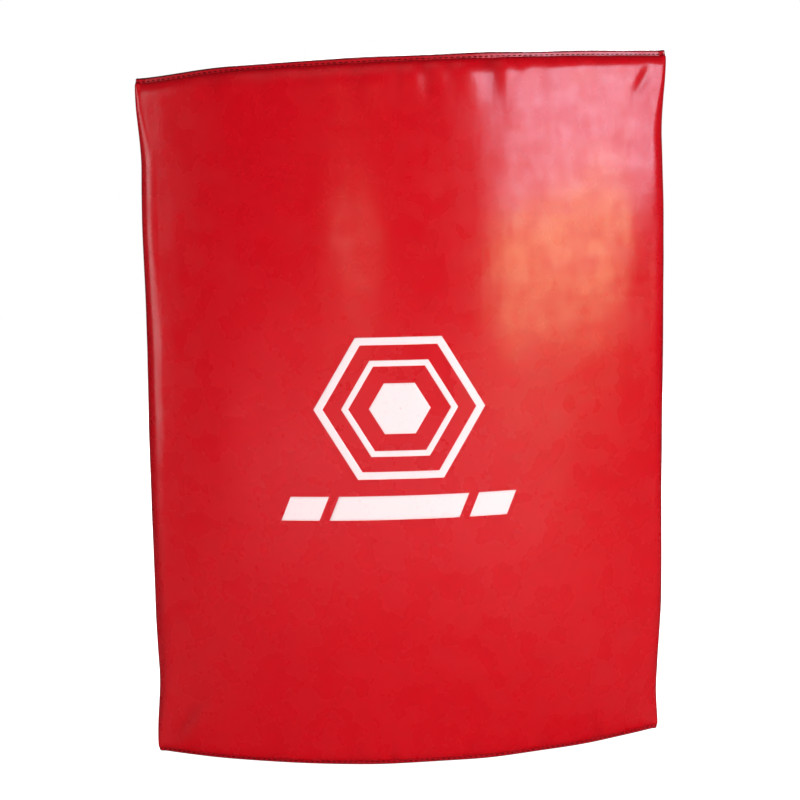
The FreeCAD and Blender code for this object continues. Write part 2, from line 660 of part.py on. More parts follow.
def ring_tab(label, angle, height):
    """Folded webbing tab sewn to the panel, with the ring's inner bar in its fold."""
    body = new_body(label)
    low = "Dims.strap_lift"
    high = "(Dims.strap_lift + Dims.tab_thick)"
    wall = "Dims.tab_wall"
    corners = [(out(low), "-Dims.tab_out"), (out(high), "-Dims.tab_out"),
               (out(high), f"-Dims.tab_in"),
               (out(f"Dims.ring_out + {wall}"), f"-Dims.ring_drop - {wall} / 2"),
               (out(f"Dims.ring_out + {wall}"), f"-Dims.ring_drop + {wall} / 2"),
               (out(f"Dims.ring_out + {wall} / 2"), f"-Dims.ring_drop + {wall}"),
               (out(f"Dims.ring_out - {wall} / 2"), f"-Dims.ring_drop + {wall}"),
               (out(f"Dims.ring_out - {wall}"), f"-Dims.ring_drop + {wall} / 2"),
               (out(low), "-Dims.tab_in")]
    pad(body, polygons(body, "YZ_Plane", [corners]), "Dims.tab_wide", both_ways=True)
    bore = circles(body, "YZ_Plane", [(out("Dims.ring_out"), "-Dims.ring_drop",
                                       "Dims.tab_bore")])
    pocket(body, bore, "Dims.ring_wide * 2")
    swing_round(body, angle, height)


# ---- the whole shield ----------------------------------------------------------------

def handle_station(row, height, side):
    """One forearm strap on one side and, on the other, the grip for that arm's hand."""
    strap_angle = f"(-1 * {side} * Dims.strap_angle)"
    grip_angle = f"({side} * Dims.grip_angle)"
    sewn_patch(f"{row}_grip_patch", "Dims.grip_patch_half", "Dims.grip_patch_long",
               grip_angle, height)
    grip_feet(f"{row}_grip_feet", grip_angle, height)
    grip_rivets(f"{row}_grip_rivets", grip_angle, height)
    grip_webbing(f"{row}_grip_webbing", grip_angle, height)
    grip_sleeve(f"{row}_grip_sleeve", grip_angle, height)
    sewn_patch(f"{row}_strap_patch", "Dims.strap_patch_half", "Dims.strap_patch_long",
               strap_angle, height)
    strap_band(f"{row}_strap_band", strap_angle, height)
    strap_pad(f"{row}_strap_pad", strap_angle, height)
    strap_tail(f"{row}_strap_tail", strap_angle, height)
    strap_ring(f"{row}_strap_ring", strap_angle, height)
    ring_tab(f"{row}_ring_tab", strap_angle, height)


def build():
    """Makes every sub-part."""
    front_cover()
    back_panel()
    end_panel("bottom_end_panel", "0")
    end_panel("top_end_panel", "Dims.tall - Dims.end_panel - Dims.spacing")
    welt("bottom_welt", "Dims.welt_lift")
    welt("top_welt", "Dims.tall - Dims.welt_high")
    rear_piping("left_rear_piping", "-1")
    rear_piping("right_rear_piping", "1")
    vent_eyelets()
    foam_layers()
    zip_tape("zip_left_tape", "-1")
    zip_tape("zip_right_tape", "1")
    zip_coils()
    zip_stops()
    zip_slider()
    zip_pull()
    handle_station("upper", "Dims.upper_row", "1")
    handle_station("lower", "Dims.lower_row", "-1")


def check():
    """Stops if any object failed or any sub-part has no valid solid."""
    doc.recompute()
    for item in doc.Objects:
        if "Invalid" in item.State or "Error" in item.State:
            raise RuntimeError(f"{item.Label} failed: {item.State}")
    for item in subparts:
        shape = item.Shape
        if shape.isNull() or not shape.isValid() or not shape.Solids:
            raise RuntimeError(f"{item.Label} has no valid solid")


def write():
    """Writes each sub-part to its own STEP file."""
    os.makedirs("parts", exist_ok=True)
    whole = FreeCAD.BoundBox()
    for item in subparts:
        item.Shape.exportStep(f"parts/{item.Label}.step")
        whole.add(item.Shape.BoundBox)
        print(f"{item.Label}: {len(item.Shape.Solids)} solid(s), {item.Shape.Volume:.0f} mm3")
    print("box", whole)


build()
check()
write()
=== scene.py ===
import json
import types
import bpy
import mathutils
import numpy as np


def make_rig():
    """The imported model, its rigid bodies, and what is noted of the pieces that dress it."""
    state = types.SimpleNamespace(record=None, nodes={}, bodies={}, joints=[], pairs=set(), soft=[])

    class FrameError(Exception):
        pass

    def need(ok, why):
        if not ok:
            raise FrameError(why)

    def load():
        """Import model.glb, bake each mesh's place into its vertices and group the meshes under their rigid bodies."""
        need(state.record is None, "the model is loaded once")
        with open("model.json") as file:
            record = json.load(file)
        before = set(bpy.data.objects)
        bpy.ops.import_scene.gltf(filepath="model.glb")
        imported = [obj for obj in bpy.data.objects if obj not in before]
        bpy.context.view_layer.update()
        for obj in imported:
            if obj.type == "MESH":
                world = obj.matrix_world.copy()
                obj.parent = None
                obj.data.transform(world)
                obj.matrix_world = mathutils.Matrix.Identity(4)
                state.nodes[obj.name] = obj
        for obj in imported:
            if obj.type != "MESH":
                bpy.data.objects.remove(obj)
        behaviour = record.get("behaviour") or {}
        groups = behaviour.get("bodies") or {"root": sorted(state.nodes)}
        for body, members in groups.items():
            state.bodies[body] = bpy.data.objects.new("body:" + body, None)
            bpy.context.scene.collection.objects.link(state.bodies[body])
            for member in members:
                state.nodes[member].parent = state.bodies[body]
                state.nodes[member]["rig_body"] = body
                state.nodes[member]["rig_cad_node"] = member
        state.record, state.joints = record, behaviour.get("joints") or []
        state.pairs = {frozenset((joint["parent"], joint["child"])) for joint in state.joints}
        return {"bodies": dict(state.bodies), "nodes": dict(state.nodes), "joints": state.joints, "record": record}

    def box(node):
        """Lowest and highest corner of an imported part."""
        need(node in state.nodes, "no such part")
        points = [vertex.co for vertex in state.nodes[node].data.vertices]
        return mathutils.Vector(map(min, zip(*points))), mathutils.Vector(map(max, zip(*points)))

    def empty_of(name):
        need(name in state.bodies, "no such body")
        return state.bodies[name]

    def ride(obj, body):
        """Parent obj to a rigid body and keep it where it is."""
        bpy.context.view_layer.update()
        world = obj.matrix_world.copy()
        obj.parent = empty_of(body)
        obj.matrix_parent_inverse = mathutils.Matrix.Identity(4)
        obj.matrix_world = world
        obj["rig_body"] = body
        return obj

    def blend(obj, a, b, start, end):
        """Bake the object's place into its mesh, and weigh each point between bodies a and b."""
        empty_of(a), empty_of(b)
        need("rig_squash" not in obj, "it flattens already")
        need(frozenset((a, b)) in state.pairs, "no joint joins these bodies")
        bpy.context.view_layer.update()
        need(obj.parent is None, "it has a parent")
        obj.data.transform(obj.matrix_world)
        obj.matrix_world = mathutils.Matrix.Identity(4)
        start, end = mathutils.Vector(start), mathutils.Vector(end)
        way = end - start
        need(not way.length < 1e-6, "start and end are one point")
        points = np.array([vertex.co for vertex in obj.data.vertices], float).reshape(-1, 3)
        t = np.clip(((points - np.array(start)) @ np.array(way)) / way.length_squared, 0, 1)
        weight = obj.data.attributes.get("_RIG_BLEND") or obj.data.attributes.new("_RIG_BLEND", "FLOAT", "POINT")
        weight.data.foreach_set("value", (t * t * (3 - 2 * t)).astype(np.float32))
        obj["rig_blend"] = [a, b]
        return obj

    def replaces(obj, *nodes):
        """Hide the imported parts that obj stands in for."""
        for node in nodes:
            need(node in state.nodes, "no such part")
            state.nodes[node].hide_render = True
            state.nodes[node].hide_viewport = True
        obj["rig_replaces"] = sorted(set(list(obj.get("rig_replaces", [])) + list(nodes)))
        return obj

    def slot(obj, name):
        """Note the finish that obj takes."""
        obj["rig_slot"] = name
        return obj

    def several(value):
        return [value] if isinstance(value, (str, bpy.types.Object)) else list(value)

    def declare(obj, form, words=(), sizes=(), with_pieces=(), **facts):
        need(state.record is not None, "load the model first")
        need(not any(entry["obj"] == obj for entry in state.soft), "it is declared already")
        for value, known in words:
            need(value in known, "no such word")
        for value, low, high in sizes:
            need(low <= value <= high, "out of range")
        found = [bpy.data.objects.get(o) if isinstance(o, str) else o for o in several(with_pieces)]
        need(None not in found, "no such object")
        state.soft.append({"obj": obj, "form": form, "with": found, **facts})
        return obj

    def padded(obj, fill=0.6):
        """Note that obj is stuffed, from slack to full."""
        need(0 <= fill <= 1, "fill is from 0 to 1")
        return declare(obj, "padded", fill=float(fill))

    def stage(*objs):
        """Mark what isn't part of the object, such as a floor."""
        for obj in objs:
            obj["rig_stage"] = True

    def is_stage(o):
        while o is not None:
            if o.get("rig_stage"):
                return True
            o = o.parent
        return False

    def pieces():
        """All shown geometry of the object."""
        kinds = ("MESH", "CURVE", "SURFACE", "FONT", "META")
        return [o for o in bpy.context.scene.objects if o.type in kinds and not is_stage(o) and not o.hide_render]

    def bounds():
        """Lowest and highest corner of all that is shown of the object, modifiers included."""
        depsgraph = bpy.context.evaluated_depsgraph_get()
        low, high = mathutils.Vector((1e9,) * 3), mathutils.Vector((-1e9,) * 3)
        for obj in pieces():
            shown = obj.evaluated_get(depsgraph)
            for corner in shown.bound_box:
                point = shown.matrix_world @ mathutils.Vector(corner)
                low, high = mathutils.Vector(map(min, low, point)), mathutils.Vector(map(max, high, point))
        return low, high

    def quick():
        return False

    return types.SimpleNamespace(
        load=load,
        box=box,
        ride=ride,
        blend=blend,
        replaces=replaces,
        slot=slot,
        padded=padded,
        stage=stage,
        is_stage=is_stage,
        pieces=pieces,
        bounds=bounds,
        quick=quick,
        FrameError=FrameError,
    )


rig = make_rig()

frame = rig.load()

import json
import math
import bpy
import bmesh
from mathutils import Matrix, Quaternion, Vector, noise
from mathutils.bvhtree import BVHTree

cad_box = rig.bounds()

# ---- driving places, in metres, from the frame ------------------------------------------

MM = 0.001
SKIN = 2 * MM
FACE_RADIUS = 565 * MM
HALF_ANGLE = math.radians(28.5)
FACE_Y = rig.box("front_cover")[0].y
AXIS_Y = FACE_Y + FACE_RADIUS
BACK_RADIUS = AXIS_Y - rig.box("back_panel")[0].y - SKIN
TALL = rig.box("top_welt")[1].z
COVER_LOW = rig.box("front_cover")[0].z
COVER_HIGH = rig.box("front_cover")[1].z
SEAM_LOW = COVER_LOW - 3.4 * MM
SEAM_HIGH = COVER_HIGH + 1.8 * MM
REAR_RADIUS = BACK_RADIUS + 6 * MM
HALF_WIDE = 265 * MM
STITCH = 5.6 * MM
TOP_INSET, LOW_INSET = 7.6 * MM, 4.8 * MM

# The real pad sits a little out of square, by these millimetres: its top edge is lifted and
# racked up to the right, its top left corner sinks, its foot is shifted to the left, its left
# side is drawn in above the foot and its right side tucked in near the floor.
LIFT, RACK, SUNK = 3.0, 8.0, 4.5
FOOT_SHIFT, LEFT_INSET, RIGHT_TUCK = 3.2, 3.0, 3.0


# ---- small helpers ------------------------------------------------------------------------

def mix(a, b, k):
    return a + (b - a) * k


def smooth(low, high, x):
    """0 below low, 1 above high, and an even S between them."""
    k = min(max((x - low) / (high - low), 0.0), 1.0)
    return k * k * (3 - 2 * k)


def bell(x, width):
    """1 at 0, fading to nothing over about twice the width."""
    return math.exp(-(x / width) ** 2)


def ray(angle):
    """Unit direction from the curve axis at an angle from -Y, positive to the right."""
    return Vector((math.sin(angle), -math.cos(angle), 0))


def at(angle, radius, z):
    """A place round the curve axis."""
    place = ray(angle) * radius
    place.y += AXIS_Y
    place.z = z
    return place


def rack(place):
    """Leans a place with the pad's uneven shape: its top racked, its foot shifted left."""
    side = place.x / HALF_WIDE
    high = smooth(0.25, 1.0, place.z / TALL)
    low = 1 - smooth(0.0, 0.14, place.z)
    tucked = bell(place.z - 0.035, 0.03) * smooth(0.6, 1.0, side)
    sunk = smooth(0.62, 1.0, -side)
    inset = smooth(0.3, 1.0, -side) * smooth(0.22, 0.5, place.z)
    place.x += (LEFT_INSET * inset - FOOT_SHIFT * low - RIGHT_TUCK * tucked) * MM
    place.z += (LIFT + RACK * side - SUNK * sunk) * MM * high
    return place


def add_object(name, vertices, faces):
    mesh = bpy.data.meshes.new(name)
    mesh.from_pydata([tuple(v) for v in vertices], [], faces)
    mesh.validate()
    obj = bpy.data.objects.new(name, mesh)
    bpy.context.scene.collection.objects.link(obj)
    face_outwards(obj)
    mesh.shade_smooth()
    return obj


def face_outwards(obj):
    work = bmesh.new()
    work.from_mesh(obj.data)
    bmesh.ops.recalc_face_normals(work, faces=work.faces)
    work.to_mesh(obj.data)
    work.free()


def grid_faces(rows, columns, wrap_rows=False, wrap_columns=False, start=0):
    """Quads of a grid whose vertices run along the columns first."""
    faces = []
    for row in range(rows if wrap_rows else rows - 1):
        below = start + row * columns
        above = start + (row + 1) % rows * columns
        for column in range(columns if wrap_columns else columns - 1):
            following = (column + 1) % columns
            faces.append((below + column, below + following, above + following, above + column))
    return faces


def end_caps(rings, sides, start=0):
    """Faces that close the two ends of a tube of rings."""
    last = start + (rings - 1) * sides
    return [tuple(range(start, start + sides)), tuple(range(last, last + sides))]


def set_values(obj, label, values):
    """Keeps one number at each vertex, for the material to read."""
    layer = obj.data.attributes.new(label, "FLOAT", "POINT")
    layer.data.foreach_set("value", values)


def in_mm(pairs):
    return [(first * MM, second * MM) for first, second in pairs]


def apply_modifiers(obj):
    bpy.context.view_layer.update()
    graph = bpy.context.evaluated_depsgraph_get()
    mesh = bpy.data.meshes.new_from_object(obj.evaluated_get(graph))
    obj.modifiers.clear()
    obj.data = mesh


def thicken(obj, thickness, sign=1):
    """Turns an open sheet round the curve axis into a closed skin, thickened inwards."""
    centre = Vector((0, AXIS_Y, TALL / 2))
    total = sum(face.area * face.normal.dot(face.center - centre) for face in obj.data.polygons)
    if total * sign < 0:
        obj.data.flip_normals()
    solid = obj.modifiers.new("skin", "SOLIDIFY")
    solid.thickness = thickness
    solid.offset = -1
    apply_modifiers(obj)


CLOTH_FRAMES = 20


def inflate(obj, voxel, cap, pressure=4.0):
    """Swells a closed pad as cloth under pressure; no point moves further than cap."""
    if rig.quick():
        return
    remesh = obj.modifiers.new("remesh", "REMESH")
    remesh.mode = "VOXEL"
    remesh.voxel_size = voxel
    apply_modifiers(obj)
    cloth = obj.modifiers.new("cloth", "CLOTH")
    cloth.settings.use_pressure = True
    cloth.settings.uniform_pressure_force = pressure
    cloth.settings.effector_weights.gravity = 0
    scene = bpy.context.scene
    for number in range(1, CLOTH_FRAMES + 1):
        scene.frame_set(number)
    bpy.context.view_layer.update()
    graph = bpy.context.evaluated_depsgraph_get()
    swollen = bpy.data.meshes.new_from_object(obj.evaluated_get(graph))
    obj.modifiers.clear()
    scene.frame_set(1)
    for vertex, moved in zip(obj.data.vertices, swollen.vertices):
        move = moved.co - vertex.co
        if move.length > cap:
            move *= cap / move.length
        vertex.co += move
    bpy.data.meshes.remove(swollen)
    obj.modifiers.new("divide", "SUBSURF").levels = 1
    apply_modifiers(obj)
    obj.data.shade_smooth()


def block(name, sizes, radius, counts, place):
    """Closed box with rounded edges, its points sent to their places by place(x, y, z)."""
    axes = []
    for size, count in zip(sizes, counts):
        core = size / 2 - radius
        edge = [core + radius * math.tan(math.pi / 4 * step / 3) for step in range(4)]
        inside = [mix(-core, core, step / count) for step in range(1, count)]
        axes.append([-value for value in reversed(edge)] + inside + edge)
    cores = [size / 2 - radius for size in sizes]
    index, vertices, faces = {}, [], []

    def corner(key):
        if key not in index:
            spot = Vector([axes[axis][key[axis]] for axis in range(3)])
            inner = Vector([min(max(spot[axis], -cores[axis]), cores[axis]) for axis in range(3)])
            rest = spot - inner
            if rest.length > 0:
                spot = inner + rest.normalized() * radius
            index[key] = len(vertices)
            vertices.append(place(*spot))
        return index[key]

    for fixed in range(3):
        first, second = [axis for axis in range(3) if axis != fixed]
        for side in (0, len(axes[fixed]) - 1):
            for i in range(len(axes[first]) - 1):
                for j in range(len(axes[second]) - 1):
                    quad = []
                    for step, rise in ((0, 0), (1, 0), (1, 1), (0, 1)):
                        key = [side, side, side]
                        key[first] = i + step
                        key[second] = j + rise
                        quad.append(corner(tuple(key)))
                    faces.append(quad)
    return add_object(name, vertices, faces)


def bent_path(corners, step=3 * MM):
    """Points along straight runs joined by arcs; each corner is (out, up, radius)."""
    points = [Vector((*corners[0][:2], 0))]
    for before, corner, after in zip(corners, corners[1:], corners[2:]):
        here = Vector((*corner[:2], 0))
        back = (Vector((*before[:2], 0)) - here).normalized()
        ahead = (Vector((*after[:2], 0)) - here).normalized()
        half = back.angle(ahead) / 2
        radius = corner[2]
        centre = here + (back + ahead).normalized() * radius / math.sin(half)
        start = here + back * radius / math.tan(half) - centre
        end = here + ahead * radius / math.tan(half) - centre
        sweep = math.copysign(math.pi - 2 * half, start.cross(end).z)
        steps = max(4, int(radius * abs(sweep) / (1.6 * MM)))
        for number in range(steps + 1):
            points.append(centre + Matrix.Rotation(sweep * number / steps, 3, "Z") @ start)
    points.append(Vector((*corners[-1][:2], 0)))
    path = [points[0]]
    for point in points[1:]:
        gap = (point - path[-1]).length
        if gap < 1e-6:
            continue
        count = max(1, int(gap / step))
        start = path[-1]
        path += [start.lerp(point, (number + 1) / count) for number in range(count)]
    return path


def ribbon(name, path, wide, thick, place, columns=12):
    """Strap swept along a path in a station's upright plane, with rounded edges."""
    radius = thick * 0.46
    reach = wide / 2 - radius
    outline = [(mix(-reach, reach, step / columns), thick / 2) for step in range(columns + 1)]
    outline += [(reach + radius * math.cos(turn), thick / 2 * math.sin(turn))
                for turn in (math.pi / 3.2, math.pi / 9, -math.pi / 9, -math.pi / 3.2)]
    outline += [(-across, -lift) for across, lift in outline]
    vertices, along, across_values = [], [], []
    travelled = 0.0
    for number, point in enumerate(path):
        before, after = path[max(number - 1, 0)], path[min(number + 1, len(path) - 1)]
        heading = (after - before).normalized()
        normal = Vector((heading.y, -heading.x, 0))
        travelled += (point - before).length
        for across, lift in outline:
            spot = point + normal * lift
            vertices.append(place(across, spot.x, spot.y))
            along.append(travelled)
            across_values.append(across)
    count = len(outline)
    faces = grid_faces(len(path), count, False, True) + end_caps(len(path), count)
    strap = add_object(name, vertices, faces)
    set_values(strap, "along", along)
    set_values(strap, "across", across_values)
    return strap


def tube(name, path, radius, aside, closed=False, sides=12):
    """Round bar along a path; aside is any direction that the path never follows."""
    vertices = []
    for number, point in enumerate(path):
        if closed:
            before, after = path[number - 1], path[(number + 1) % len(path)]
        else:
            before, after = path[max(number - 1, 0)], path[min(number + 1, len(path) - 1)]
        heading = (after - before).normalized()
        side = heading.cross(aside).normalized()
        lift = side.cross(heading)
        for corner in range(sides):
            turn = 2 * math.pi * corner / sides
            vertices.append(point + (side * math.cos(turn) + lift * math.sin(turn)) * radius)
    faces = grid_faces(len(path), sides, closed, True)
    if not closed:
        faces += end_caps(len(path), sides)
    return add_object(name, vertices, faces)


def lathes(name, profile, spots, steps=32):
    """The same turned closed profile of (radius, height) at each (place, axis) spot."""
    vertices, faces = [], []
    for place, axis in spots:
        side = axis.cross(Vector((0, 0, 1))).normalized()
        up = side.cross(axis)
        start = len(vertices)
        for step in range(steps):
            turn = 2 * math.pi * step / steps
            arm = side * math.cos(turn) + up * math.sin(turn)
            vertices += [place + arm * radius + axis * height for radius, height in profile]
        faces += grid_faces(steps, len(profile), True, True, start)
    return add_object(name, vertices, faces)


def finish_piece(obj, material, body, slot_name, *nodes):
    """Gives a piece its material, its body, its slot and the CAD nodes it stands for."""
    obj.data.materials.clear()
    obj.data.materials.append(material)
    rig.ride(obj, body)
    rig.slot(obj, slot_name)
    if nodes:
        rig.replaces(obj, *nodes)


# ---- materials ----------------------------------------------------------------------------

class Nodes:
    """A short way to write one node material."""

    def __init__(self, name, roughness=0.5, metallic=0.0):
        self.material = bpy.data.materials.new(name)
        self.material.use_nodes = True
        self.tree = self.material.node_tree
        self.shader = self.tree.nodes["Principled BSDF"]
        self.shader.inputs["Roughness"].default_value = roughness
        self.shader.inputs["Metallic"].default_value = metallic
        self.place = self.add("ShaderNodeTexCoord").outputs["Object"]
        self.last_bump = None

    def add(self, kind, **settings):
        node = self.tree.nodes.new(kind)
        for key, setting in settings.items():
            setattr(node, key, setting)
        return node

    def link(self, source, target):
        self.tree.links.new(source, target)

    def stretched(self, scale):
        mapping = self.add("ShaderNodeMapping")
        mapping.inputs["Scale"].default_value = scale
        self.link(self.place, mapping.inputs["Vector"])
        return mapping.outputs["Vector"]

    def noise(self, scale, detail=3.0, place=None):
        node = self.add("ShaderNodeTexNoise")
        node.inputs["Scale"].default_value = scale
        node.inputs["Detail"].default_value = detail
        self.link(place or self.place, node.inputs["Vector"])
        return node.outputs["Fac"]

    def cells(self, scale, feature="DISTANCE_TO_EDGE"):
        node = self.add("ShaderNodeTexVoronoi", feature=feature)
        node.inputs["Scale"].default_value = scale
        self.link(self.place, node.inputs["Vector"])
        return node.outputs["Distance"]

    def attribute(self, name):
        return self.add("ShaderNodeAttribute", attribute_name=name).outputs["Fac"]

    def ramp(self, source, low, high, from_low=0.0, from_high=1.0):
        """Maps a varying value to another range."""
        node = self.add("ShaderNodeMapRange")
        node.inputs["From Min"].default_value = from_low
        node.inputs["From Max"].default_value = from_high
        node.inputs["To Min"].default_value = low
        node.inputs["To Max"].default_value = high
        self.link(source, node.inputs["Value"])
        return node.outputs["Result"]

    def blend(self, factor, first, second):
        """A colour between two, each a colour or another node's output."""
        node = self.add("ShaderNodeMix", data_type="RGBA")
        self.link(factor, node.inputs["Factor"])
        for socket, colour in ((node.inputs[6], first), (node.inputs[7], second)):
            if isinstance(colour, tuple):
                socket.default_value = (*colour, 1)
            else:
                self.link(colour, socket)
        return node.outputs[2]

    def ripples(self, source, pitch):
        """Even waves from 0 to 1 along a distance, one to each pitch."""
        turn = self.add("ShaderNodeMath", operation="MULTIPLY")
        turn.inputs[1].default_value = 2 * math.pi / pitch
        self.link(source, turn.inputs[0])
        sine = self.add("ShaderNodeMath", operation="SINE")
        self.link(turn.outputs[0], sine.inputs[0])
        return self.ramp(sine.outputs[0], 0.0, 1.0, -1.0, 1.0)

    def multiply(self, first, second):
        node = self.add("ShaderNodeMath", operation="MULTIPLY")
        self.link(first, node.inputs[0])
        self.link(second, node.inputs[1])
        return node.outputs[0]

    def bump(self, height, distance, strength=1.0):
        node = self.add("ShaderNodeBump")
        node.inputs["Distance"].default_value = distance
        node.inputs["Strength"].default_value = strength
        self.link(height, node.inputs["Height"])
        if self.last_bump:
            self.link(self.last_bump, node.inputs["Normal"])
        self.last_bump = node.outputs["Normal"]
        self.link(self.last_bump, self.shader.inputs["Normal"])

    def colour(self, source):
        self.link(source, self.shader.inputs["Base Color"])

    def rough(self, source):
        self.link(source, self.shader.inputs["Roughness"])

    def coat(self, weight, roughness):
        self.shader.inputs["Coat Weight"].default_value = weight
        self.shader.inputs["Coat Roughness"].default_value = roughness

    def sheen(self, weight, roughness):
        self.shader.inputs["Sheen Weight"].default_value = weight
        self.shader.inputs["Sheen Roughness"].default_value = roughness


def glossy_skin(name, base, deep, rough_low=0.22, rough_high=0.34, coat=0.7):
    """Shiny synthetic leather: fine grain, soft creases, and painted shade in its folds and along seam crests."""
    skin = Nodes(name)
    deeper = tuple(channel * 0.93 for channel in base)
    body = skin.blend(skin.noise(7, 3), base, deeper)
    # painted shade: the deep colour is laid where the fold attribute is high, in the folds of the face and on the seam
    # ridge crests
    skin.colour(skin.blend(skin.attribute("fold"), body, deep))
    skin.rough(skin.ramp(skin.noise(38, 6), rough_low, rough_high, 0.3, 0.7))
    skin.bump(skin.noise(16, 3), 1.2 * MM, 0.5)
    skin.bump(skin.noise(75, 4, skin.stretched((1, 1, 0.22))), 0.42 * MM, 0.7)
    skin.bump(skin.noise(60, 4, skin.stretched((0.2, 0.2, 1.3))), 0.38 * MM, 0.7)
    skin.bump(skin.noise(240, 3, skin.stretched((1, 1, 0.35))), 0.08 * MM, 0.6)
    skin.bump(skin.cells(560), 0.05 * MM, 0.7)
    skin.bump(skin.noise(1100, 2), 0.03 * MM, 0.7)
    skin.coat(coat, 0.18)
    streaks = skin.noise(90, 7, skin.stretched((1, 1, 0.45)))
    creases = skin.noise(45, 7, skin.stretched((0.6, 0.6, 1.2)))
    worn = skin.ramp(skin.multiply(streaks, creases), coat * 0.45, coat * 1.35, 0.13, 0.38)
    skin.link(worn, skin.shader.inputs["Coat Weight"])
    return skin.material


# The second colour of each skin is its painted shade colour, for folds and ridge crests.
RED = glossy_skin("red_skin", (0.60, 0.0010, 0.0085), (0.25, 0.0005, 0.003))
WELT_RED = glossy_skin("red_welt", (0.52, 0.0015, 0.010), (0.05, 0.0005, 0.003), 0.28, 0.38)
END_RED = glossy_skin("red_end", (0.52, 0.0012, 0.008), (0.2, 0.0005, 0.003), 0.58, 0.72, 0.0)
END_RED.node_tree.nodes["Principled BSDF"].inputs["Specular IOR Level"].default_value = 0.25


def matt_skin(name, colour, rough):
    """Black grained synthetic leather, softly shiny on its rubbed high spots."""
    skin = Nodes(name)
    rubbed = tuple(channel * 1.9 for channel in colour)
    skin.colour(skin.blend(skin.ramp(skin.noise(14, 5), 0.0, 1.0, 0.35, 0.75), colour, rubbed))
    skin.rough(skin.ramp(skin.noise(45, 4), rough - 0.07, rough + 0.09, 0.3, 0.7))
    skin.bump(skin.noise(30, 5), 0.6 * MM, 0.5)
    skin.bump(skin.cells(520), 0.16 * MM, 0.7)
    skin.bump(skin.noise(1300, 2), 0.05 * MM, 0.6)
    return skin.material


def woven(name, colour, pitch):
    """Nylon webbing: ribs across it and pairs of warp threads along it."""
    weave = Nodes(name, 0.62)
    along = weave.ripples(weave.attribute("along"), pitch)
    across = weave.ripples(weave.attribute("across"), pitch * 1.25)
    threads = weave.multiply(along, across)
    pale = tuple(channel * 3.2 for channel in colour)
    worn = weave.multiply(weave.ramp(threads, 0.15, 1.0), weave.noise(60, 4))
    weave.colour(weave.blend(worn, colour, pale))
    weave.bump(threads, 0.22 * MM, 0.9)
    weave.bump(weave.noise(2200, 2), 0.06 * MM, 0.7)
    weave.sheen(0.25, 0.45)
    return weave.material


def fuzzy(name, colour):
    """Loop pile of a touch fastener."""
    pile = Nodes(name, 0.8)
    tufts = pile.cells(600, "F1")
    pile.colour(pile.blend(pile.noise(300, 3), colour, tuple(c * 2.4 for c in colour)))
    pile.bump(tufts, 0.5 * MM, 0.9)
    pile.bump(pile.noise(1700, 3), 0.25 * MM, 0.8)
    pile.sheen(0.6, 0.5)
    return pile.material


def spacer_mesh(name, colour):
    """Padded lining with a fine open mesh of holes, with painted shade in the holes."""
    mesh = Nodes(name, 0.7)
    holes = mesh.ramp(mesh.cells(380, "F1"), 0.0, 1.0, 0.0, 0.75)
    # painted shade: darker in the holes than on the mesh between them
    mesh.colour(mesh.blend(holes, tuple(c * 0.35 for c in colour), tuple(c * 1.5 for c in colour)))
    mesh.bump(holes, 0.5 * MM, 0.9)
    mesh.bump(mesh.noise(1500, 2), 0.08 * MM, 0.7)
    mesh.sheen(0.4, 0.5)
    return mesh.material


def moulded(name, colour, rough):
    """Moulded rubber or nylon with a fine stipple and faint scuffs."""
    rubber = Nodes(name)
    scuffs = rubber.ramp(rubber.noise(70, 6), 0.0, 1.0, 0.5, 0.8)
    rubber.colour(rubber.blend(scuffs, colour, tuple(channel * 2.2 for channel in colour)))
    rubber.rough(rubber.ramp(rubber.noise(50, 4), rough - 0.08, rough + 0.1, 0.3, 0.7))
    rubber.bump(rubber.noise(900, 3), 0.10 * MM, 0.7)
    return rubber.material


def plated(name, colour):
    """Nickel-plated steel with soft wear and hairline scratches."""
    metal = Nodes(name, 0.2, 1.0)
    worn = metal.ramp(metal.noise(160, 6), 0.0, 1.0, 0.52, 0.75)
    metal.colour(metal.blend(worn, colour, tuple(channel * 0.62 for channel in colour)))
    metal.rough(metal.ramp(metal.noise(260, 5), 0.14, 0.34, 0.3, 0.7))
    metal.bump(metal.noise(700, 2, metal.stretched((1, 1, 0.06))), 0.03 * MM, 0.5)
    return metal.material


def foam(name, colour, scale):
    """Cellular foam, open or closed, with painted shade in the grooves between its cells."""
    cells = Nodes(name, 0.85)
    pores = cells.ramp(cells.cells(scale), 0.0, 1.0, 0.0, 0.35)
    # painted shade: darker in the low grooves between the cells
    cells.colour(cells.blend(pores, tuple(channel * 0.6 for channel in colour), colour))
    cells.bump(pores, 0.5 * MM, 0.8)
    return cells.material


BLACK_SKIN = matt_skin("black_skin", (0.012, 0.012, 0.0135), 0.46)
PATCH_SKIN = matt_skin("patch_skin", (0.016, 0.016, 0.018), 0.4)
WEBBING = woven("webbing", (0.012, 0.012, 0.014), 1.5 * MM)
TAPE = woven("zip_tape", (0.010, 0.010, 0.011), 0.8 * MM)
LOOP_PILE = fuzzy("loop_pile", (0.012, 0.012, 0.013))
LINING = spacer_mesh("pad_lining", (0.020, 0.020, 0.022))
RUBBER = moulded("grip_rubber", (0.013, 0.013, 0.014), 0.5)
NYLON = moulded("zip_nylon", (0.014, 0.014, 0.015), 0.36)
NICKEL = plated("nickel", (0.74, 0.73, 0.71))
DENSE_FOAM = foam("dense_foam", (0.045, 0.045, 0.05), 900)
SOFT_FOAM = foam("soft_foam", (0.72, 0.68, 0.58), 500)


def ink():
    """Screen-printed white ink with the grain showing through and faint thin spots."""
    print_ink = Nodes("white_ink")
    thin = print_ink.ramp(print_ink.noise(260, 5), 0.0, 0.5, 0.6, 0.8)
    print_ink.colour(print_ink.blend(thin, (0.90, 0.84, 0.85), (0.80, 0.60, 0.62)))
    print_ink.rough(print_ink.ramp(print_ink.noise(60, 4), 0.36, 0.46, 0.3, 0.7))
    print_ink.bump(print_ink.cells(560), 0.09 * MM, 0.8)
    print_ink.coat(0.1, 0.25)
    return print_ink.material


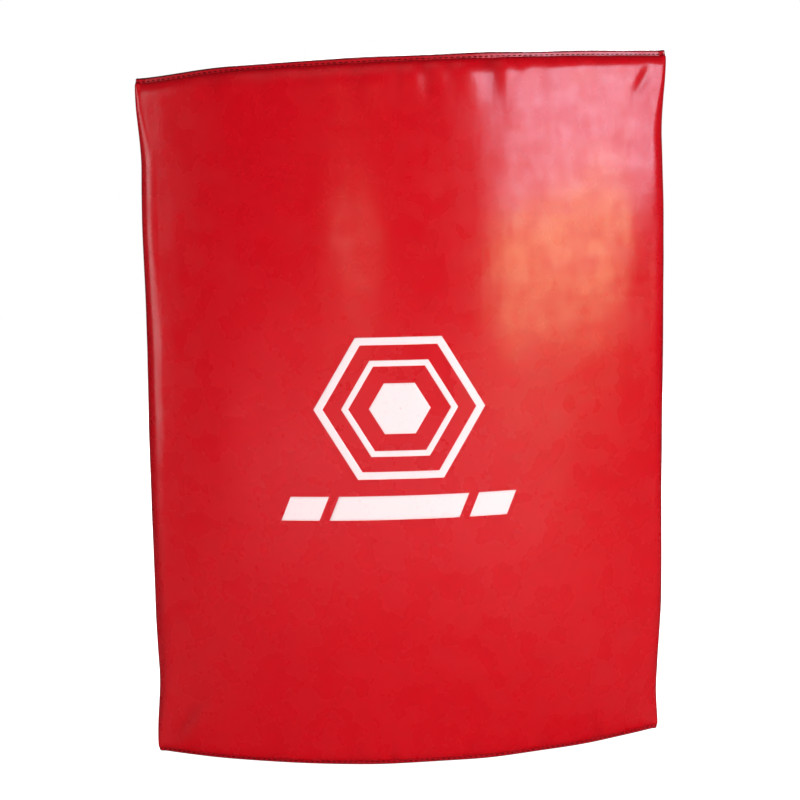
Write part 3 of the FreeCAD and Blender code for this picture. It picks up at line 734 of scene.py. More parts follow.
def thread(name, colour):
    """Twisted sewing thread."""
    twist = Nodes(name, 0.75)
    twist.colour(twist.blend(twist.noise(1800, 2), colour, tuple(c * 0.6 for c in colour)))
    twist.bump(twist.noise(2600, 1), 0.08 * MM)
    twist.shader.inputs["Specular IOR Level"].default_value = 0.2
    return twist.material


# ---- the cover's outline and surface ------------------------------------------------------

# Radius of the upright corners, at the end seams and away from them.
SEAM_CORNER, CORNER = 8 * MM, 23 * MM


def section(u, corner):
    """Place and outward direction on the cover's outline at one height.

    u runs from 0 to 5: left side from the rear, left corner, face, right corner, right side.
    """
    if u > 2.5:
        place, outward = section(5 - u, corner)
        return Vector((-place.x, place.y, 0)), Vector((-outward.x, outward.y, 0))
    reach = FACE_RADIUS - corner
    face_half = HALF_ANGLE - math.asin(corner / reach)
    tangent = math.sqrt(reach * reach - corner * corner)
    side_turn = -math.pi / 2 - HALF_ANGLE
    if u < 1:
        return at(-HALF_ANGLE, mix(REAR_RADIUS, tangent, u), 0), ray(side_turn)
    if u < 2:
        outward = ray(mix(side_turn, -face_half, u - 1))
        return at(-face_half, reach, 0) + outward * corner, outward
    angle = mix(-face_half, face_half, u - 2)
    return at(angle, FACE_RADIUS, 0), ray(angle)


def face_share(u):
    """1 on the striking face, 0 on the sides, and an even change round the corners."""
    return smooth(1.55, 2.12, u) * smooth(1.55, 2.12, 5 - u)


# Soft dimples at the two end seams: place along the face, width, length and depth in
# millimetres, then lean.
TOP_PINCHES = [
    (-50, 11, 30, 0.6, 0.1), (-5, 8, 30, 0.8, -0.1), (17, 9, 34, 1.2, 0.2),
    (40, 8, 28, 0.9, 0.1), (84, 12, 38, 1.4, 0.15), (111, 7, 26, 0.9, -0.1),
    (146, 12, 24, 0.4, 0.1), (205, 16, 22, 0.5, 0.2),
    (-95, 14, 26, 0.5, 0.1), (-142, 12, 24, 0.4, -0.1), (-196, 12, 26, 0.6, 0.1),
]
BOTTOM_PINCHES = [
    (-150, 14, 22, 0.5, 0.1), (-60, 12, 20, 0.4, -0.05), (-24, 6, 12, 1.0, 0.0),
    (60, 12, 20, 0.4, 0.1), (140, 12, 22, 0.5, -0.1), (205, 10, 22, 0.6, -0.2),
]


# Where the folds at two corners of the face start, along it from the middle.
CORNER_ALONG = 268 * MM


def pinches(along, down, table):
    """Depth of the pinched folds at a place along the face and down from a seam."""
    depth = 0.0
    for place, width, length, deep, lean in table:
        side = along / MM - place - lean * down / MM
        if abs(side) > 4 * width or down / MM > 3 * length:
            continue
        fade = bell(down / MM, length) * smooth(0, 3, down / MM + 1.5)
        groove = bell(side, width) - 0.45 * (bell(side - 1.9 * width, width)
                                             + bell(side + 1.9 * width, width))
        depth += deep * MM * groove * fade
    return depth


def shoulder(down, reach, drop):
    """How far the skin has turned in towards a seam."""
    share = min(max(1 - down / reach, 0.0), 1.0)
    return drop * (1 - (1 - share ** 2.1) ** (1 / 2.1))


def cover_place(u, z):
    """A place on the padded cover, and how deep in the pinched creases it is, which sets the painted shade there."""
    from_top = SEAM_HIGH - z
    from_bottom = z - SEAM_LOW
    nearest = min(from_top, from_bottom)
    corner = mix(SEAM_CORNER, CORNER, smooth(0.0, 0.085, nearest))
    place, outward = section(u, corner)
    on_face = face_share(u)
    off_rear = smooth(0.0, 0.5, min(u, 5 - u))
    along = (u - 2.5) * 2 * FACE_RADIUS * HALF_ANGLE

    swell = mix(5.0 * off_rear, 3.0, on_face) * MM * smooth(0, 0.16, nearest)
    soft = noise.noise(Vector((along * 6.5, z * 5.0, 1.7))) * 1.4 * MM
    soft += noise.noise(Vector((along * 17, z * 13, 4.1))) * 0.5 * MM
    soft += noise.noise(Vector((along * 42, z * 30, 7.3))) * 0.16 * MM
    out = swell + soft * smooth(0, 0.03, nearest) * mix(off_rear, 1, on_face)
    if from_top < from_bottom:
        reach = mix(20, 13, smooth(0.0, 0.27, along)) * MM
        out -= shoulder(from_top, mix(9 * MM, reach, on_face), mix(1.2, 8.6, on_face) * MM)
    else:
        out -= shoulder(from_bottom, mix(9, 13, on_face) * MM, mix(1.2, 5.6, on_face) * MM)
    ripple = math.cos(2 * math.pi * along / STITCH) * bell(nearest, 4 * MM)
    out += ripple * 0.22 * MM
    fold = pinches(along, from_top, TOP_PINCHES) + pinches(along, from_bottom, BOTTOM_PINCHES)
    out -= fold * mix(0.3, 1, on_face)
    # diagonal folds run in from the top right corner and the bottom left corner
    for side, from_seam, reach in ((1, from_top, 1.0), (-1, from_bottom, 1.5)):
        inwards_along = CORNER_ALONG - side * along
        if inwards_along > -0.03:
            line = inwards_along - from_seam * 0.4
            crease = bell(line, 8 * MM) * bell(from_seam - 24 * MM * reach, 14 * MM * reach)
            lip = bell(line - 16 * MM, 12 * MM) * bell(from_seam - 22 * MM, 18 * MM)
            out += (0.5 * lip - 1.5 * crease) * MM
            # the diagonal crease also deepens the painted shade
            fold += crease * 0.8 * MM
    spot = place + outward * out
    spot.z = z
    # the scaled depth is the mask of painted shade in the folds
    return rack(spot), min(max(fold / (3.5 * MM), 0.0), 1.0)


def spaced(breaks):
    """Values that run through (value, steps) breaks."""
    values = [breaks[0][0]]
    for (start, _), (end, steps) in zip(breaks, breaks[1:]):
        values += [mix(start, end, (step + 1) / steps) for step in range(steps)]
    return values


COVER_U = spaced([(0, 0), (1, 22), (2, 9), (3, 190), (4, 9), (5, 22)])
COVER_Z = spaced([(SEAM_LOW, 0), (SEAM_LOW + 0.05, 26), (SEAM_HIGH - 0.06, 110),
                  (SEAM_HIGH, 32)])


def front_cover():
    """Striking face and both sides, in one stretched skin."""
    places, fold_shade = [], []
    for z in COVER_Z:
        for u in COVER_U:
            place, fold = cover_place(u, z)
            places.append(place)
            fold_shade.append(fold)
    cover = add_object("front_cover_skin", places, grid_faces(len(COVER_Z), len(COVER_U)))
    # painted shade: darker where a point lies deep in a fold
    set_values(cover, "fold", fold_shade)
    thicken(cover, 1.6 * MM)
    finish_piece(cover, RED, "shield", "face_skin", "front_cover")
    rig.padded(cover, fill=0.9)
    return cover


def seam_path(inset, rear_inset=0.5 * MM, steps=2):
    """Closed path round one end: places and outward directions."""
    places = []
    for u in spaced([(0, 0), (1, 30), (2, 8), (3, 230), (4, 8), (5, 30)]):
        place, outward = section(u, SEAM_CORNER)
        places.append(place - outward * mix(1.2 * MM, inset, face_share(u)))
    rear = BACK_RADIUS + rear_inset
    for step in range(1, 120):
        places.append(at(mix(HALF_ANGLE, -HALF_ANGLE, step / 120), rear, 0))
    for _ in range(steps):
        places = [(places[i - 1] + places[i] * 2 + places[(i + 1) % len(places)]) / 4
                  for i in range(len(places))]
    outwards = []
    for i in range(len(places)):
        run = (places[(i + 1) % len(places)] - places[i - 1]).normalized()
        outwards.append(Vector((run.y, -run.x, 0)))
    return places, outwards


def welt(name, node, base, top, inset):
    """Turned seam ridge round one end, drawn in a little at each stitch, with painted shade along its crest."""
    places, outwards = seam_path(inset)
    up = 1 if top > base else -1
    high = abs(top - base)
    half = 2.1 * MM
    profile = []
    for step in range(9):
        turn = math.pi * step / 8
        profile.append((half * math.cos(turn), high - half * 0.8 + half * 0.8 * math.sin(turn)))
    for side in (-1, 1):
        steps = 5
        for step in range(steps):
            k = step / (steps - 1)
            height = (high - half) * (1 - k if side < 0 else k)
            profile.append((side * half, height * 0.96))
    vertices, crest_shade = [], []
    travelled = 0.0
    for i, (place, outward) in enumerate(zip(places, outwards)):
        travelled += (place - places[i - 1]).length
        pull = 0.22 * MM * math.cos(2 * math.pi * travelled / STITCH)
        wander = noise.noise(place * 14) * 0.9 * MM
        for across, height in profile:
            low = bell(height - 2.5 * MM, 2 * MM)
            spot = place + outward * (across + pull * low * (1 if across > 0 else -1) - half)
            spot.z = base + up * (height + wander * height / high)
            vertices.append(rack(spot))
            # painted shade: the ridge is darkened towards its top, a dark outline along the crest
            crest_shade.append(smooth(0.62, 0.95, height / high))
    faces = grid_faces(len(places), len(profile), True, True)
    ridge = add_object(name, vertices, faces)
    set_values(ridge, "fold", crest_shade)
    finish_piece(ridge, WELT_RED, "shield", "welt_skin", node)


# ---- print on the face --------------------------------------------------------------------

PRINT_ALONG = -14 * MM
PRINT_HIGH = 0.366
BAR_ALONG = -16 * MM
BAR_HIGH = 0.2675


def strip(inner, outer, steps, across):
    """Grid between two closed outlines of the same number of corners."""
    rows = []
    for layer in range(across + 1):
        k = layer / across
        row = []
        for corner in range(len(inner)):
            following = (corner + 1) % len(inner)
            for step in range(steps):
                share = step / steps
                low = inner[corner].lerp(inner[following], share)
                high = outer[corner].lerp(outer[following], share)
                row.append(low.lerp(high, k))
        rows.append(row)
    return rows


def hexagon(radius, flatten=0.96):
    corners = []
    for corner in range(6):
        turn = math.pi / 3 * corner
        corners.append(Vector((radius * math.cos(turn), radius * flatten * math.sin(turn))))
    return corners


def print_shapes():
    """Plain target of hexagons over a divided bar: rows of places, and if the rows close."""
    shapes = []
    for inner, outer, across in ((75, 84, 5), (50, 57, 4), (0.1, 30, 12)):
        rows = strip(hexagon(inner * MM), hexagon(outer * MM), 26, across)
        centre = Vector((PRINT_ALONG, PRINT_HIGH))
        shapes.append(([[centre + place for place in row] for row in rows], True))
    slant = 5 * MM
    for left, right in ((-112, -74), (-64, 64), (74, 112)):
        rows = []
        for layer in range(11):
            up = (layer / 10 - 0.5) * 24 * MM
            row = []
            for step in range(46):
                side = mix(left * MM, right * MM, step / 45) + slant * up / (12 * MM)
                row.append(Vector((BAR_ALONG + side, BAR_HIGH + up)))
            rows.append(row)
        shapes.append((rows, False))
    return shapes


def face_print(cover):
    """Ink on the striking face, laid on the finished skin."""
    surface = BVHTree.FromObject(cover, bpy.context.evaluated_depsgraph_get())
    vertices, faces = [], []
    for rows, closed in print_shapes():
        start = len(vertices)
        for row in rows:
            for place in row:
                angle = place.x / FACE_RADIUS
                origin = at(angle, FACE_RADIUS + 0.05, place.y)
                hit, normal, _, _ = surface.ray_cast(origin, -ray(angle))
                vertices.append(hit + normal * 0.22 * MM)
        faces += grid_faces(len(rows), len(rows[0]), False, closed, start)
    print_piece = add_object("face_print", vertices, faces)
    thicken(print_piece, 0.3 * MM)
    finish_piece(print_piece, ink(), "shield", "face_skin")


# ---- stitches -----------------------------------------------------------------------------

def stitches(name, runs, material, body, slot_name, pitch=STITCH, long=4.3 * MM,
             radius=0.42 * MM):
    """Rows of short thread stitches along runs of (place, outward) pairs."""
    vertices, faces = [], []
    rings, sides = 6, 6
    for path in runs:
        lengths = [0.0]
        for (a, _), (b, _) in zip(path, path[1:]):
            lengths.append(lengths[-1] + (b - a).length)
        total = lengths[-1]
        count = max(int(round(total / pitch)), 1)
        index = 0
        for number in range(count):
            middle = (number + 0.5) * total / count
            while index < len(lengths) - 2 and lengths[index + 1] < middle:
                index += 1
            k = (middle - lengths[index]) / max(lengths[index + 1] - lengths[index], 1e-9)
            centre = path[index][0].lerp(path[index + 1][0], k)
            outward = path[index][1].lerp(path[index + 1][1], k).normalized()
            heading = (path[index + 1][0] - path[index][0]).normalized()
            side = heading.cross(outward).normalized()
            start = len(vertices)
            for ring in range(rings):
                share = ring / (rings - 1) * 2 - 1
                girth = radius * math.sqrt(max(1 - abs(share) ** 3, 0.02))
                lift = radius * (0.75 - 1.5 * share * share)
                for corner in range(sides):
                    turn = 2 * math.pi * corner / sides
                    vertices.append(centre + heading * (share * long / 2)
                                    + outward * (lift + girth * math.sin(turn))
                                    + side * (girth * math.cos(turn)))
            faces += grid_faces(rings, sides, False, True, start) + end_caps(rings, sides, start)
    finish_piece(add_object(name, vertices, faces), material, body, slot_name)


# Points of a seam path that are topstitched, from the left rear round to the right side.
STITCHED = 286


def welt_stitches(name, height, inset):
    """Topstitching along the foot of a front seam ridge."""
    places, outwards = seam_path(inset)
    path = []
    for place, outward in zip(places[:STITCHED], outwards[:STITCHED]):
        spot = rack(Vector((place.x, place.y, height)))
        path.append((spot + outward * 0.1 * MM, outward))
    stitches(name, [path], RED_THREAD, "shield", "welt_skin")


RED_THREAD = thread("red_thread", (0.12, 0.002, 0.006))
BLACK_THREAD = thread("black_thread", (0.03, 0.03, 0.033))

cover = front_cover()
welt("top_welt_ridge", "top_welt", SEAM_HIGH - 2.5 * MM, TALL, TOP_INSET)
welt("bottom_welt_ridge", "bottom_welt", SEAM_LOW + 2.5 * MM, 0.5 * MM, LOW_INSET)
welt_stitches("top_seam_thread", SEAM_HIGH + 0.6 * MM, TOP_INSET)
welt_stitches("bottom_seam_thread", SEAM_LOW - 0.4 * MM, LOW_INSET)
face_print(cover)


# ---- inside and ends ----------------------------------------------------------------------

def curved_slab(name, outer, inner, half, low, high, rounding, counts, crown=0.0):
    """Slab that follows the shield's curve, racked with it and crowned upwards."""
    middle = (outer + inner) / 2
    sizes = (2 * half * middle, outer - inner, high - low)

    def place(along, across, up):
        spot = at(along / middle, middle + across, (low + high) / 2 + up)
        share = (1 - (2 * along / sizes[0]) ** 2) * (1 - (2 * across / sizes[1]) ** 2)
        dents = noise.noise(spot * 22) * 0.6 * MM if crown else 0.0
        spot.z += (crown + dents) * share
        return rack(spot)

    return block(name, sizes, rounding, counts, place)


def foam_core():
    """Dense strike sheet, two soft blocks and a stiff board, in from the stretched cover."""
    layers = [("strike_foam", 8.5, 24, 7.5, DENSE_FOAM, "foam_dense"),
              ("front_core_foam", 24.3, 74, 6, SOFT_FOAM, "foam_soft"),
              ("rear_core_foam", 74.3, 124, 6, SOFT_FOAM, "foam_soft"),
              ("rear_foam_board", 124.3, 143, 3, DENSE_FOAM, "foam_dense")]
    for node, front, rear, rounding, material, slot_name in layers:
        middle = FACE_RADIUS - (front + rear) / 2 * MM
        layer = curved_slab(f"{node}_layer", FACE_RADIUS - front * MM, FACE_RADIUS - rear * MM,
                            HALF_ANGLE - 7 * MM / middle, COVER_LOW + 3 * MM,
                            COVER_HIGH - 3 * MM, rounding * MM, (40, 5, 40))
        finish_piece(layer, material, "shield", slot_name, node)
        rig.padded(layer, fill=1.0)


def end_panels():
    """Panels that close the two ends, inside the seam ridges."""
    middle = (FACE_RADIUS + BACK_RADIUS) / 2
    for node, low, high, crown in (("top_end_panel", TALL - 7 * MM, TALL - 3.4 * MM, 2.6 * MM),
                                   ("bottom_end_panel", 1.6 * MM, 5.2 * MM, 0.0)):
        panel = curved_slab(f"{node}_skin", FACE_RADIUS - 9.6 * MM, BACK_RADIUS + 3 * MM,
                            HALF_ANGLE - 4 * MM / middle, low, high, 1.5 * MM,
                            (110, 34, 2), crown)
        finish_piece(panel, END_RED, "shield", "end_skin", node)
        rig.padded(panel, fill=0.8)


# ---- the hollow back ----------------------------------------------------------------------

SLOT_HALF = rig.box("zip_slider")[1].x + 0.5 * MM
SLOT_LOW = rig.box("zip_stops")[0].z
SLOT_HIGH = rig.box("zip_stops")[1].z
ROWS = {"upper": (475 * MM, 1), "lower": (230 * MM, -1)}
GRIP_ANGLE = math.radians(17)
STRAP_ANGLE = math.radians(13.5)


def station(angle, height):
    """Turns (across, out from the back panel, up) in a handle's own frame into a place."""
    def place(across, out, up):
        spot = at(angle, BACK_RADIUS - out, height + up)
        return spot + Vector((math.cos(angle), math.sin(angle), 0)) * across
    return place


def on_back(place):
    """The same, but following the back panel's curve."""
    def sewn(across, out, up):
        return place(across, out + across * across / (2 * BACK_RADIUS), up)
    return sewn


def outwards(place):
    """Direction out of the back at a station."""
    return (place(0, 1 * MM, 0) - place(0, 0, 0)).normalized()


def sewn_lines(place, out, lines, step=2 * MM):
    """Runs of (place, outward) pairs along straight lines of (across, up) corners."""
    runs = []
    for corners in lines:
        for (x0, z0), (x1, z1) in zip(corners, corners[1:]):
            count = max(2, int(math.hypot(x1 - x0, z1 - z0) / step))
            pairs = []
            for number in range(count + 1):
                k = number / count
                pairs.append((place(mix(x0, x1, k), out, mix(z0, z1, k)), outwards(place)))
            runs.append(pairs)
    return runs


def rectangle(half, low, high, crossed=False):
    """Corners of a sewn box, with its diagonals if it is crossed."""
    lines = [[(-half, low), (half, low), (half, high), (-half, high), (-half, low)]]
    if crossed:
        lines += [[(-half, low), (half, high)], [(half, low), (-half, high)]]
    return lines


def back_panel():
    """Back skin with a slot for the zip, a little slack between its seams."""
    edge = HALF_ANGLE * BACK_RADIUS - 2.5 * MM
    columns = spaced([(-edge, 0), (-edge + 8 * MM, 5), (-SLOT_HALF - 3 * MM, 62),
                      (-SLOT_HALF, 4), (SLOT_HALF, 6), (SLOT_HALF + 3 * MM, 4),
                      (edge - 8 * MM, 62), (edge, 5)])
    rows = spaced([(COVER_LOW, 0), (COVER_LOW + 10 * MM, 6), (SLOT_LOW, 30), (SLOT_HIGH, 130),
                   (COVER_HIGH - 10 * MM, 28), (COVER_HIGH, 6)])
    place = station(0, 0)
    vertices = []
    for height in rows:
        for along in columns:
            ends = min(height - COVER_LOW, COVER_HIGH - height)
            sides = edge - abs(along)
            beside = max(abs(along) - SLOT_HALF, SLOT_LOW - height, height - SLOT_HIGH)
            slack = noise.noise(Vector((along * 11, height * 8, 9.0))) * 0.9 * MM
            slack += noise.noise(Vector((along * 34, height * 27, 2.0))) * 0.3 * MM
            out = -0.9 * MM + slack * smooth(0, 0.03, min(ends, sides, beside + 6 * MM))
            out -= shoulder(min(ends, sides), 7 * MM, 1.0 * MM)
            out += bell(beside - 2 * MM, 2 * MM) * 0.8 * MM - bell(beside - 6 * MM, 1.6 * MM) * 0.5 * MM
            angle = along / BACK_RADIUS
            spot = at(angle, BACK_RADIUS - out, height)
            vertices.append(rack(spot))
    faces = []
    for face in grid_faces(len(rows), len(columns)):
        column = face[0] % len(columns)
        row = face[0] // len(columns)
        middle = (columns[column] + columns[column + 1]) / 2
        height = (rows[row] + rows[row + 1]) / 2
        if abs(middle) > SLOT_HALF or not SLOT_LOW < height < SLOT_HIGH:
            faces.append(face)
    panel = add_object("back_panel_skin", vertices, faces)
    thicken(panel, 1.4 * MM, -1)
    finish_piece(panel, BLACK_SKIN, "shield", "back_skin", "back_panel")
    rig.padded(panel, fill=0.8)
    sewn = on_back(place)
    frame_lines = rectangle(SLOT_HALF + 6 * MM, SLOT_LOW - 7 * MM, SLOT_HIGH + 7 * MM)
    stitches("zip_frame_thread", sewn_lines(sewn, -1.1 * MM, frame_lines), BLACK_THREAD,
             "shield", "back_skin", 4 * MM, 3 * MM, 0.35 * MM)


def rear_piping():
    """Corded seams down the two rear corners."""
    radius = BACK_RADIUS + 2.4 * MM
    for node, side in (("left_rear_piping", -1), ("right_rear_piping", 1)):
        angle = side * (HALF_ANGLE - 3.2 * MM / radius)
        path = []
        steps = 340
        for step in range(steps + 1):
            height = mix(COVER_LOW - 1 * MM, COVER_HIGH + 1 * MM, step / steps)
            sway = noise.noise(Vector((side * 3.1, height * 9, 0))) * 0.7 * MM
            path.append(rack(at(angle, radius + sway, height)))
        cord = tube(f"{node}_cord", path, 2.9 * MM, Vector((1, 0, 0)), sides=14)
        for number, vertex in enumerate(cord.data.vertices):
            height = path[number // 14].z
            centre = path[number // 14]
            nip = 0.05 * math.cos(2 * math.pi * height / STITCH)
            nip += 0.05 * noise.noise(vertex.co * 90)
            vertex.co += (vertex.co - centre) * nip
        finish_piece(cord, WELT_RED, "shield", "welt_skin", node)
    runs = []
    for side in (-1, 1):
        pairs = []
        for step in range(200):
            height = mix(COVER_LOW + 4 * MM, COVER_HIGH - 4 * MM, step / 199)
            angle = side * (HALF_ANGLE - 9.5 * MM / BACK_RADIUS)
            pairs.append((rack(at(angle, BACK_RADIUS + 1.5 * MM, height)), -ray(angle)))
        runs.append(pairs)
    stitches("rear_seam_thread", runs, BLACK_THREAD, "shield", "back_skin")


def vent_eyelets():
    """Pressed eyelets with a rolled lip, each over a dark gauze disc."""
    profile = in_mm([(3.3, -1.2), (3.3, 0.3), (3.7, 0.9), (4.6, 1.35), (5.8, 1.45), (7.2, 1.1),
                     (8.2, 0.5), (8.5, 0.0), (8.4, -0.5), (7.0, -0.6), (4.4, -1.2)])
    gauze = in_mm([(0.05, -0.4), (3.4, -0.4), (3.4, -0.75), (0.05, -0.75)])
    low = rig.box("vent_eyelets")[0].z + 8.5 * MM
    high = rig.box("vent_eyelets")[1].z - 8.5 * MM
    spots = []
    for angle in (-math.radians(22), math.radians(22)):
        for height in (low, high):
            spots.append((at(angle, BACK_RADIUS, height), -ray(angle)))
    finish_piece(lathes("vent_eyelet_rims", profile, spots, 40), NICKEL, "shield", "hardware",
                 "vent_eyelets")
    finish_piece(lathes("vent_gauze", gauze, spots, 24), TAPE, "shield", "zip_tape")


# ---- zip ----------------------------------------------------------------------------------

def zip_tapes():
    """Woven tapes along both edges of the slot."""
    place = on_back(station(0, 0))
    for node, side in (("zip_left_tape", -1), ("zip_right_tape", 1)):
        path = [Vector((-3.8 * MM, mix(SLOT_LOW - 8 * MM, SLOT_HIGH + 8 * MM, step / 150), 0))
                for step in range(151)]

        def beside(across, out, up, side=side):
            return place(across + side * 8 * MM, out, up)

        tape = ribbon(f"{node}_weave", path, 14 * MM, 1.1 * MM, beside, 8)
        finish_piece(tape, TAPE, "shield", "zip_tape", node)


def zip_coils():
    """Two meshed nylon coils."""
    pitch = 2.3 * MM
    turns = int((SLOT_HIGH - SLOT_LOW - 6 * MM) / pitch)
    place = station(0, 0)
    vertices, faces = [], []
    steps, sides = 10, 5
    for side in (-1, 1):
        start = len(vertices)
        rings = turns * steps + 1
        for ring in range(rings):
            turn = 2 * math.pi * ring / steps
            rise = SLOT_LOW + 3 * MM + pitch * (ring / steps + 0.5 * (side > 0))
            rise = min(rise, SLOT_HIGH - 3 * MM)
            across = side * (1.75 * MM - 1.75 * MM * math.cos(turn))
            out = -1.7 * MM + 0.95 * MM * math.sin(turn)
            centre = Vector((across, out, rise))
            heading = Vector((side * math.sin(turn) * 1.75, 0.95 * math.cos(turn), 0.37)).normalized()
            first = heading.cross(Vector((0, 0, 1))).normalized()
            second = first.cross(heading)
            for corner in range(sides):
                spin = 2 * math.pi * corner / sides
                spot = centre + (first * math.cos(spin) + second * math.sin(spin)) * 0.52 * MM
                vertices.append(place(spot.x, spot.y, spot.z))
        faces += grid_faces(rings, sides, False, True, start) + end_caps(rings, sides, start)
    finish_piece(add_object("zip_coil_turns", vertices, faces), NYLON, "shield", "zip_coil",
                 "zip_coils")


def zip_metal():
    """Stops, slider with its arch, and a pull with a window and a ribbed thumb tab."""
    place = station(0, 0)
    middle = (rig.box("zip_slider")[0].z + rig.box("zip_slider")[1].z) / 2
    for name, height in (("zip_stop_low", SLOT_LOW + 1.5 * MM), ("zip_stop_high", SLOT_HIGH - 1.5 * MM)):
        stop = block(name, (7.4 * MM, 3.0 * MM, 2.7 * MM), 0.8 * MM, (4, 3, 3),
                     lambda x, y, z, height=height: place(x, y - 1.2 * MM, height + z))
        finish_piece(stop, NICKEL, "shield", "hardware", "zip_stops")

    def slider_place(x, y, z):
        waist = 1 - 0.22 * smooth(-1 * MM, -7 * MM, z)
        crown = 0.5 * MM * (1 - (x / (6 * MM)) ** 2) if y > 0 else 0.0
        return place(x * waist, y + 1.7 * MM + crown, middle + z)

    body = block("zip_slider_body", (12 * MM, 2.2 * MM, 15 * MM), 0.9 * MM, (8, 2, 10), slider_place)
    finish_piece(body, NICKEL, "slider", "hardware", "zip_slider")
    arch = [(2.2 * MM, middle - 4.6 * MM), (6.3 * MM, middle - 4.0 * MM, 2.2 * MM),
            (6.3 * MM, middle + 4.0 * MM, 2.2 * MM), (2.2 * MM, middle + 4.6 * MM)]
    bridge = ribbon("zip_slider_arch", bent_path(arch, 1 * MM), 3 * MM, 1.2 * MM, place, 4)
    finish_piece(bridge, NICKEL, "slider", "hardware")

    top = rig.box("zip_pull")[1].z
    out = 4.2 * MM
    loop = bent_path([(0, top - 1 * MM), (3.6 * MM, top - 1 * MM, 1.6 * MM),
                      (3.4 * MM, top - 14 * MM, 1.5 * MM), (-3.4 * MM, top - 14 * MM, 1.5 * MM),
                      (-3.6 * MM, top - 1 * MM, 1.6 * MM), (0, top - 1 * MM)], 1 * MM)[:-1]
    path = [place(point.x, out, point.y) for point in loop]
    frame_bar = tube("zip_pull_loop", path, 0.85 * MM, Vector((0, 1, 0)), True, 10)
    finish_piece(frame_bar, NICKEL, "pull", "hardware", "zip_pull")

    def tab_place(x, y, z):
        taper = 1 + 0.08 * z / (10 * MM)
        ribs = 0.18 * MM * math.cos(2 * math.pi * z / (2.2 * MM)) * smooth(9 * MM, 6 * MM, abs(z))
        return place(x * taper, out + y + (ribs if y > 0 else -ribs), top - 23 * MM + z)

    tab = block("zip_pull_tab", (9 * MM, 1.5 * MM, 20 * MM), 0.7 * MM, (6, 2, 60), tab_place)
    finish_piece(tab, NICKEL, "pull", "hardware")


# ---- handles ------------------------------------------------------------------------------

def patch(name, node, angle, height, wide, tall):
    """Reinforcing patch with a turned, topstitched edge."""
    place = on_back(station(angle, height))

    def puffed(x, y, z):
        edge = min(wide / 2 - abs(x), tall / 2 - abs(z))
        lift = 0.35 * MM * bell(edge - 1.8 * MM, 1.6 * MM) - 0.3 * MM * bell(edge - 4.5 * MM, 1 * MM)
        lift += noise.noise(Vector((x * 30, z * 25, angle * 7 + height))) * 0.25 * MM
        return place(x, y + 0.75 * MM + (lift if y > 0 else 0), z)

    piece = block(name, (wide, 1.6 * MM, tall), 0.7 * MM, (int(wide / (2 * MM)), 2, 90), puffed)
    finish_piece(piece, PATCH_SKIN, "shield", "patch_skin", node)
    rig.padded(piece, fill=0.9)
    lines = rectangle(wide / 2 - 4.5 * MM, -tall / 2 + 4.5 * MM, tall / 2 - 4.5 * MM)
    stitches(f"{name}_thread", sewn_lines(place, 1.2 * MM, lines), BLACK_THREAD,
             "shield", "patch_skin", 4 * MM, 3 * MM, 0.36 * MM)


def hand_grip(row, height, angle):
    """Webbing loop sewn and riveted at both ends, with a ribbed rubber sleeve."""
    place = station(angle, height)
    patch(f"{row}_grip_patch_skin", f"{row}_grip_patch", angle, height, 54 * MM, 216 * MM)
    foot, reach = 3.7 * MM, 48 * MM
    corners = [(foot, -104 * MM), (foot, -73 * MM, 7 * MM), (reach, -61.5 * MM, 11 * MM),
               (reach, 61.5 * MM, 11 * MM), (foot, 73 * MM, 7 * MM), (foot, 104 * MM)]
    loop = ribbon(f"{row}_grip_loop", bent_path(corners), 25 * MM, 3 * MM, place)
    loop.data.materials.append(WEBBING)
    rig.slot(loop, "webbing")
    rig.replaces(loop, f"{row}_grip_webbing", f"{row}_grip_feet")
    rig.blend(loop, "shield", f"{row}_grip", start=place(0, 5.6 * MM, 0), end=place(0, 16 * MM, 0))

    lines = []
    for low, high in ((-102 * MM, -77 * MM), (77 * MM, 102 * MM)):
        lines += rectangle(10.5 * MM, low, high)
    stitches(f"{row}_grip_foot_thread", sewn_lines(place, 5.3 * MM, lines), BLACK_THREAD,
             "shield", "webbing", 3.4 * MM, 2.6 * MM, 0.34 * MM)

    rings = spaced([(-46 * MM, 0), (-45 * MM, 3), (-42 * MM, 4), (42 * MM, 112), (45 * MM, 4),
                    (46 * MM, 3)])
    vertices = []
    sides = 48
    for rise in rings:
        end = 46 * MM - abs(rise)
        ribs = 0.5 + 0.5 * math.cos(2 * math.pi * rise / (6 * MM))
        girth = -0.9 * MM * ribs ** 3 * smooth(3 * MM, 6 * MM, end)
        girth += 0.9 * MM * bell(end - 2.2 * MM, 1.6 * MM) - 1.2 * MM * smooth(1.0 * MM, 0, end)
        belly = 1 - 0.06 * (rise / (46 * MM)) ** 2
        for corner in range(sides):
            turn = 2 * math.pi * corner / sides
            x = math.copysign(abs(math.cos(turn)) ** 0.86, math.cos(turn))
            y = math.copysign(abs(math.sin(turn)) ** 0.86, math.sin(turn))
            vertices.append(place((16 * MM * belly + girth) * x,
                                  reach + (12 * MM * belly + girth) * y, rise))
    faces = grid_faces(len(rings), sides, False, True) + end_caps(len(rings), sides)
    sleeve = add_object(f"{row}_grip_rubber", vertices, faces)
    finish_piece(sleeve, RUBBER, f"{row}_grip", "grip_rubber", f"{row}_grip_sleeve")

    dome = in_mm([(0.05, 0.0), (3.9, 0.0), (4.2, 0.35), (4.1, 0.8), (3.4, 1.4), (2.2, 1.8),
                  (0.05, 1.95)])
    spots = []
    for side in (-1, 1):
        for rise in (82 * MM, 97 * MM):
            spots.append((place(0, 5.25 * MM, side * rise), outwards(place)))
    rivets = lathes(f"{row}_rivet_heads", dome, spots, 28)
    finish_piece(rivets, NICKEL, "shield", "hardware", f"{row}_grip_rivets")


LEAN = math.radians(35)
RING_OUT, RING_DROP, RING_LONG = 8 * MM, 84 * MM, 17 * MM


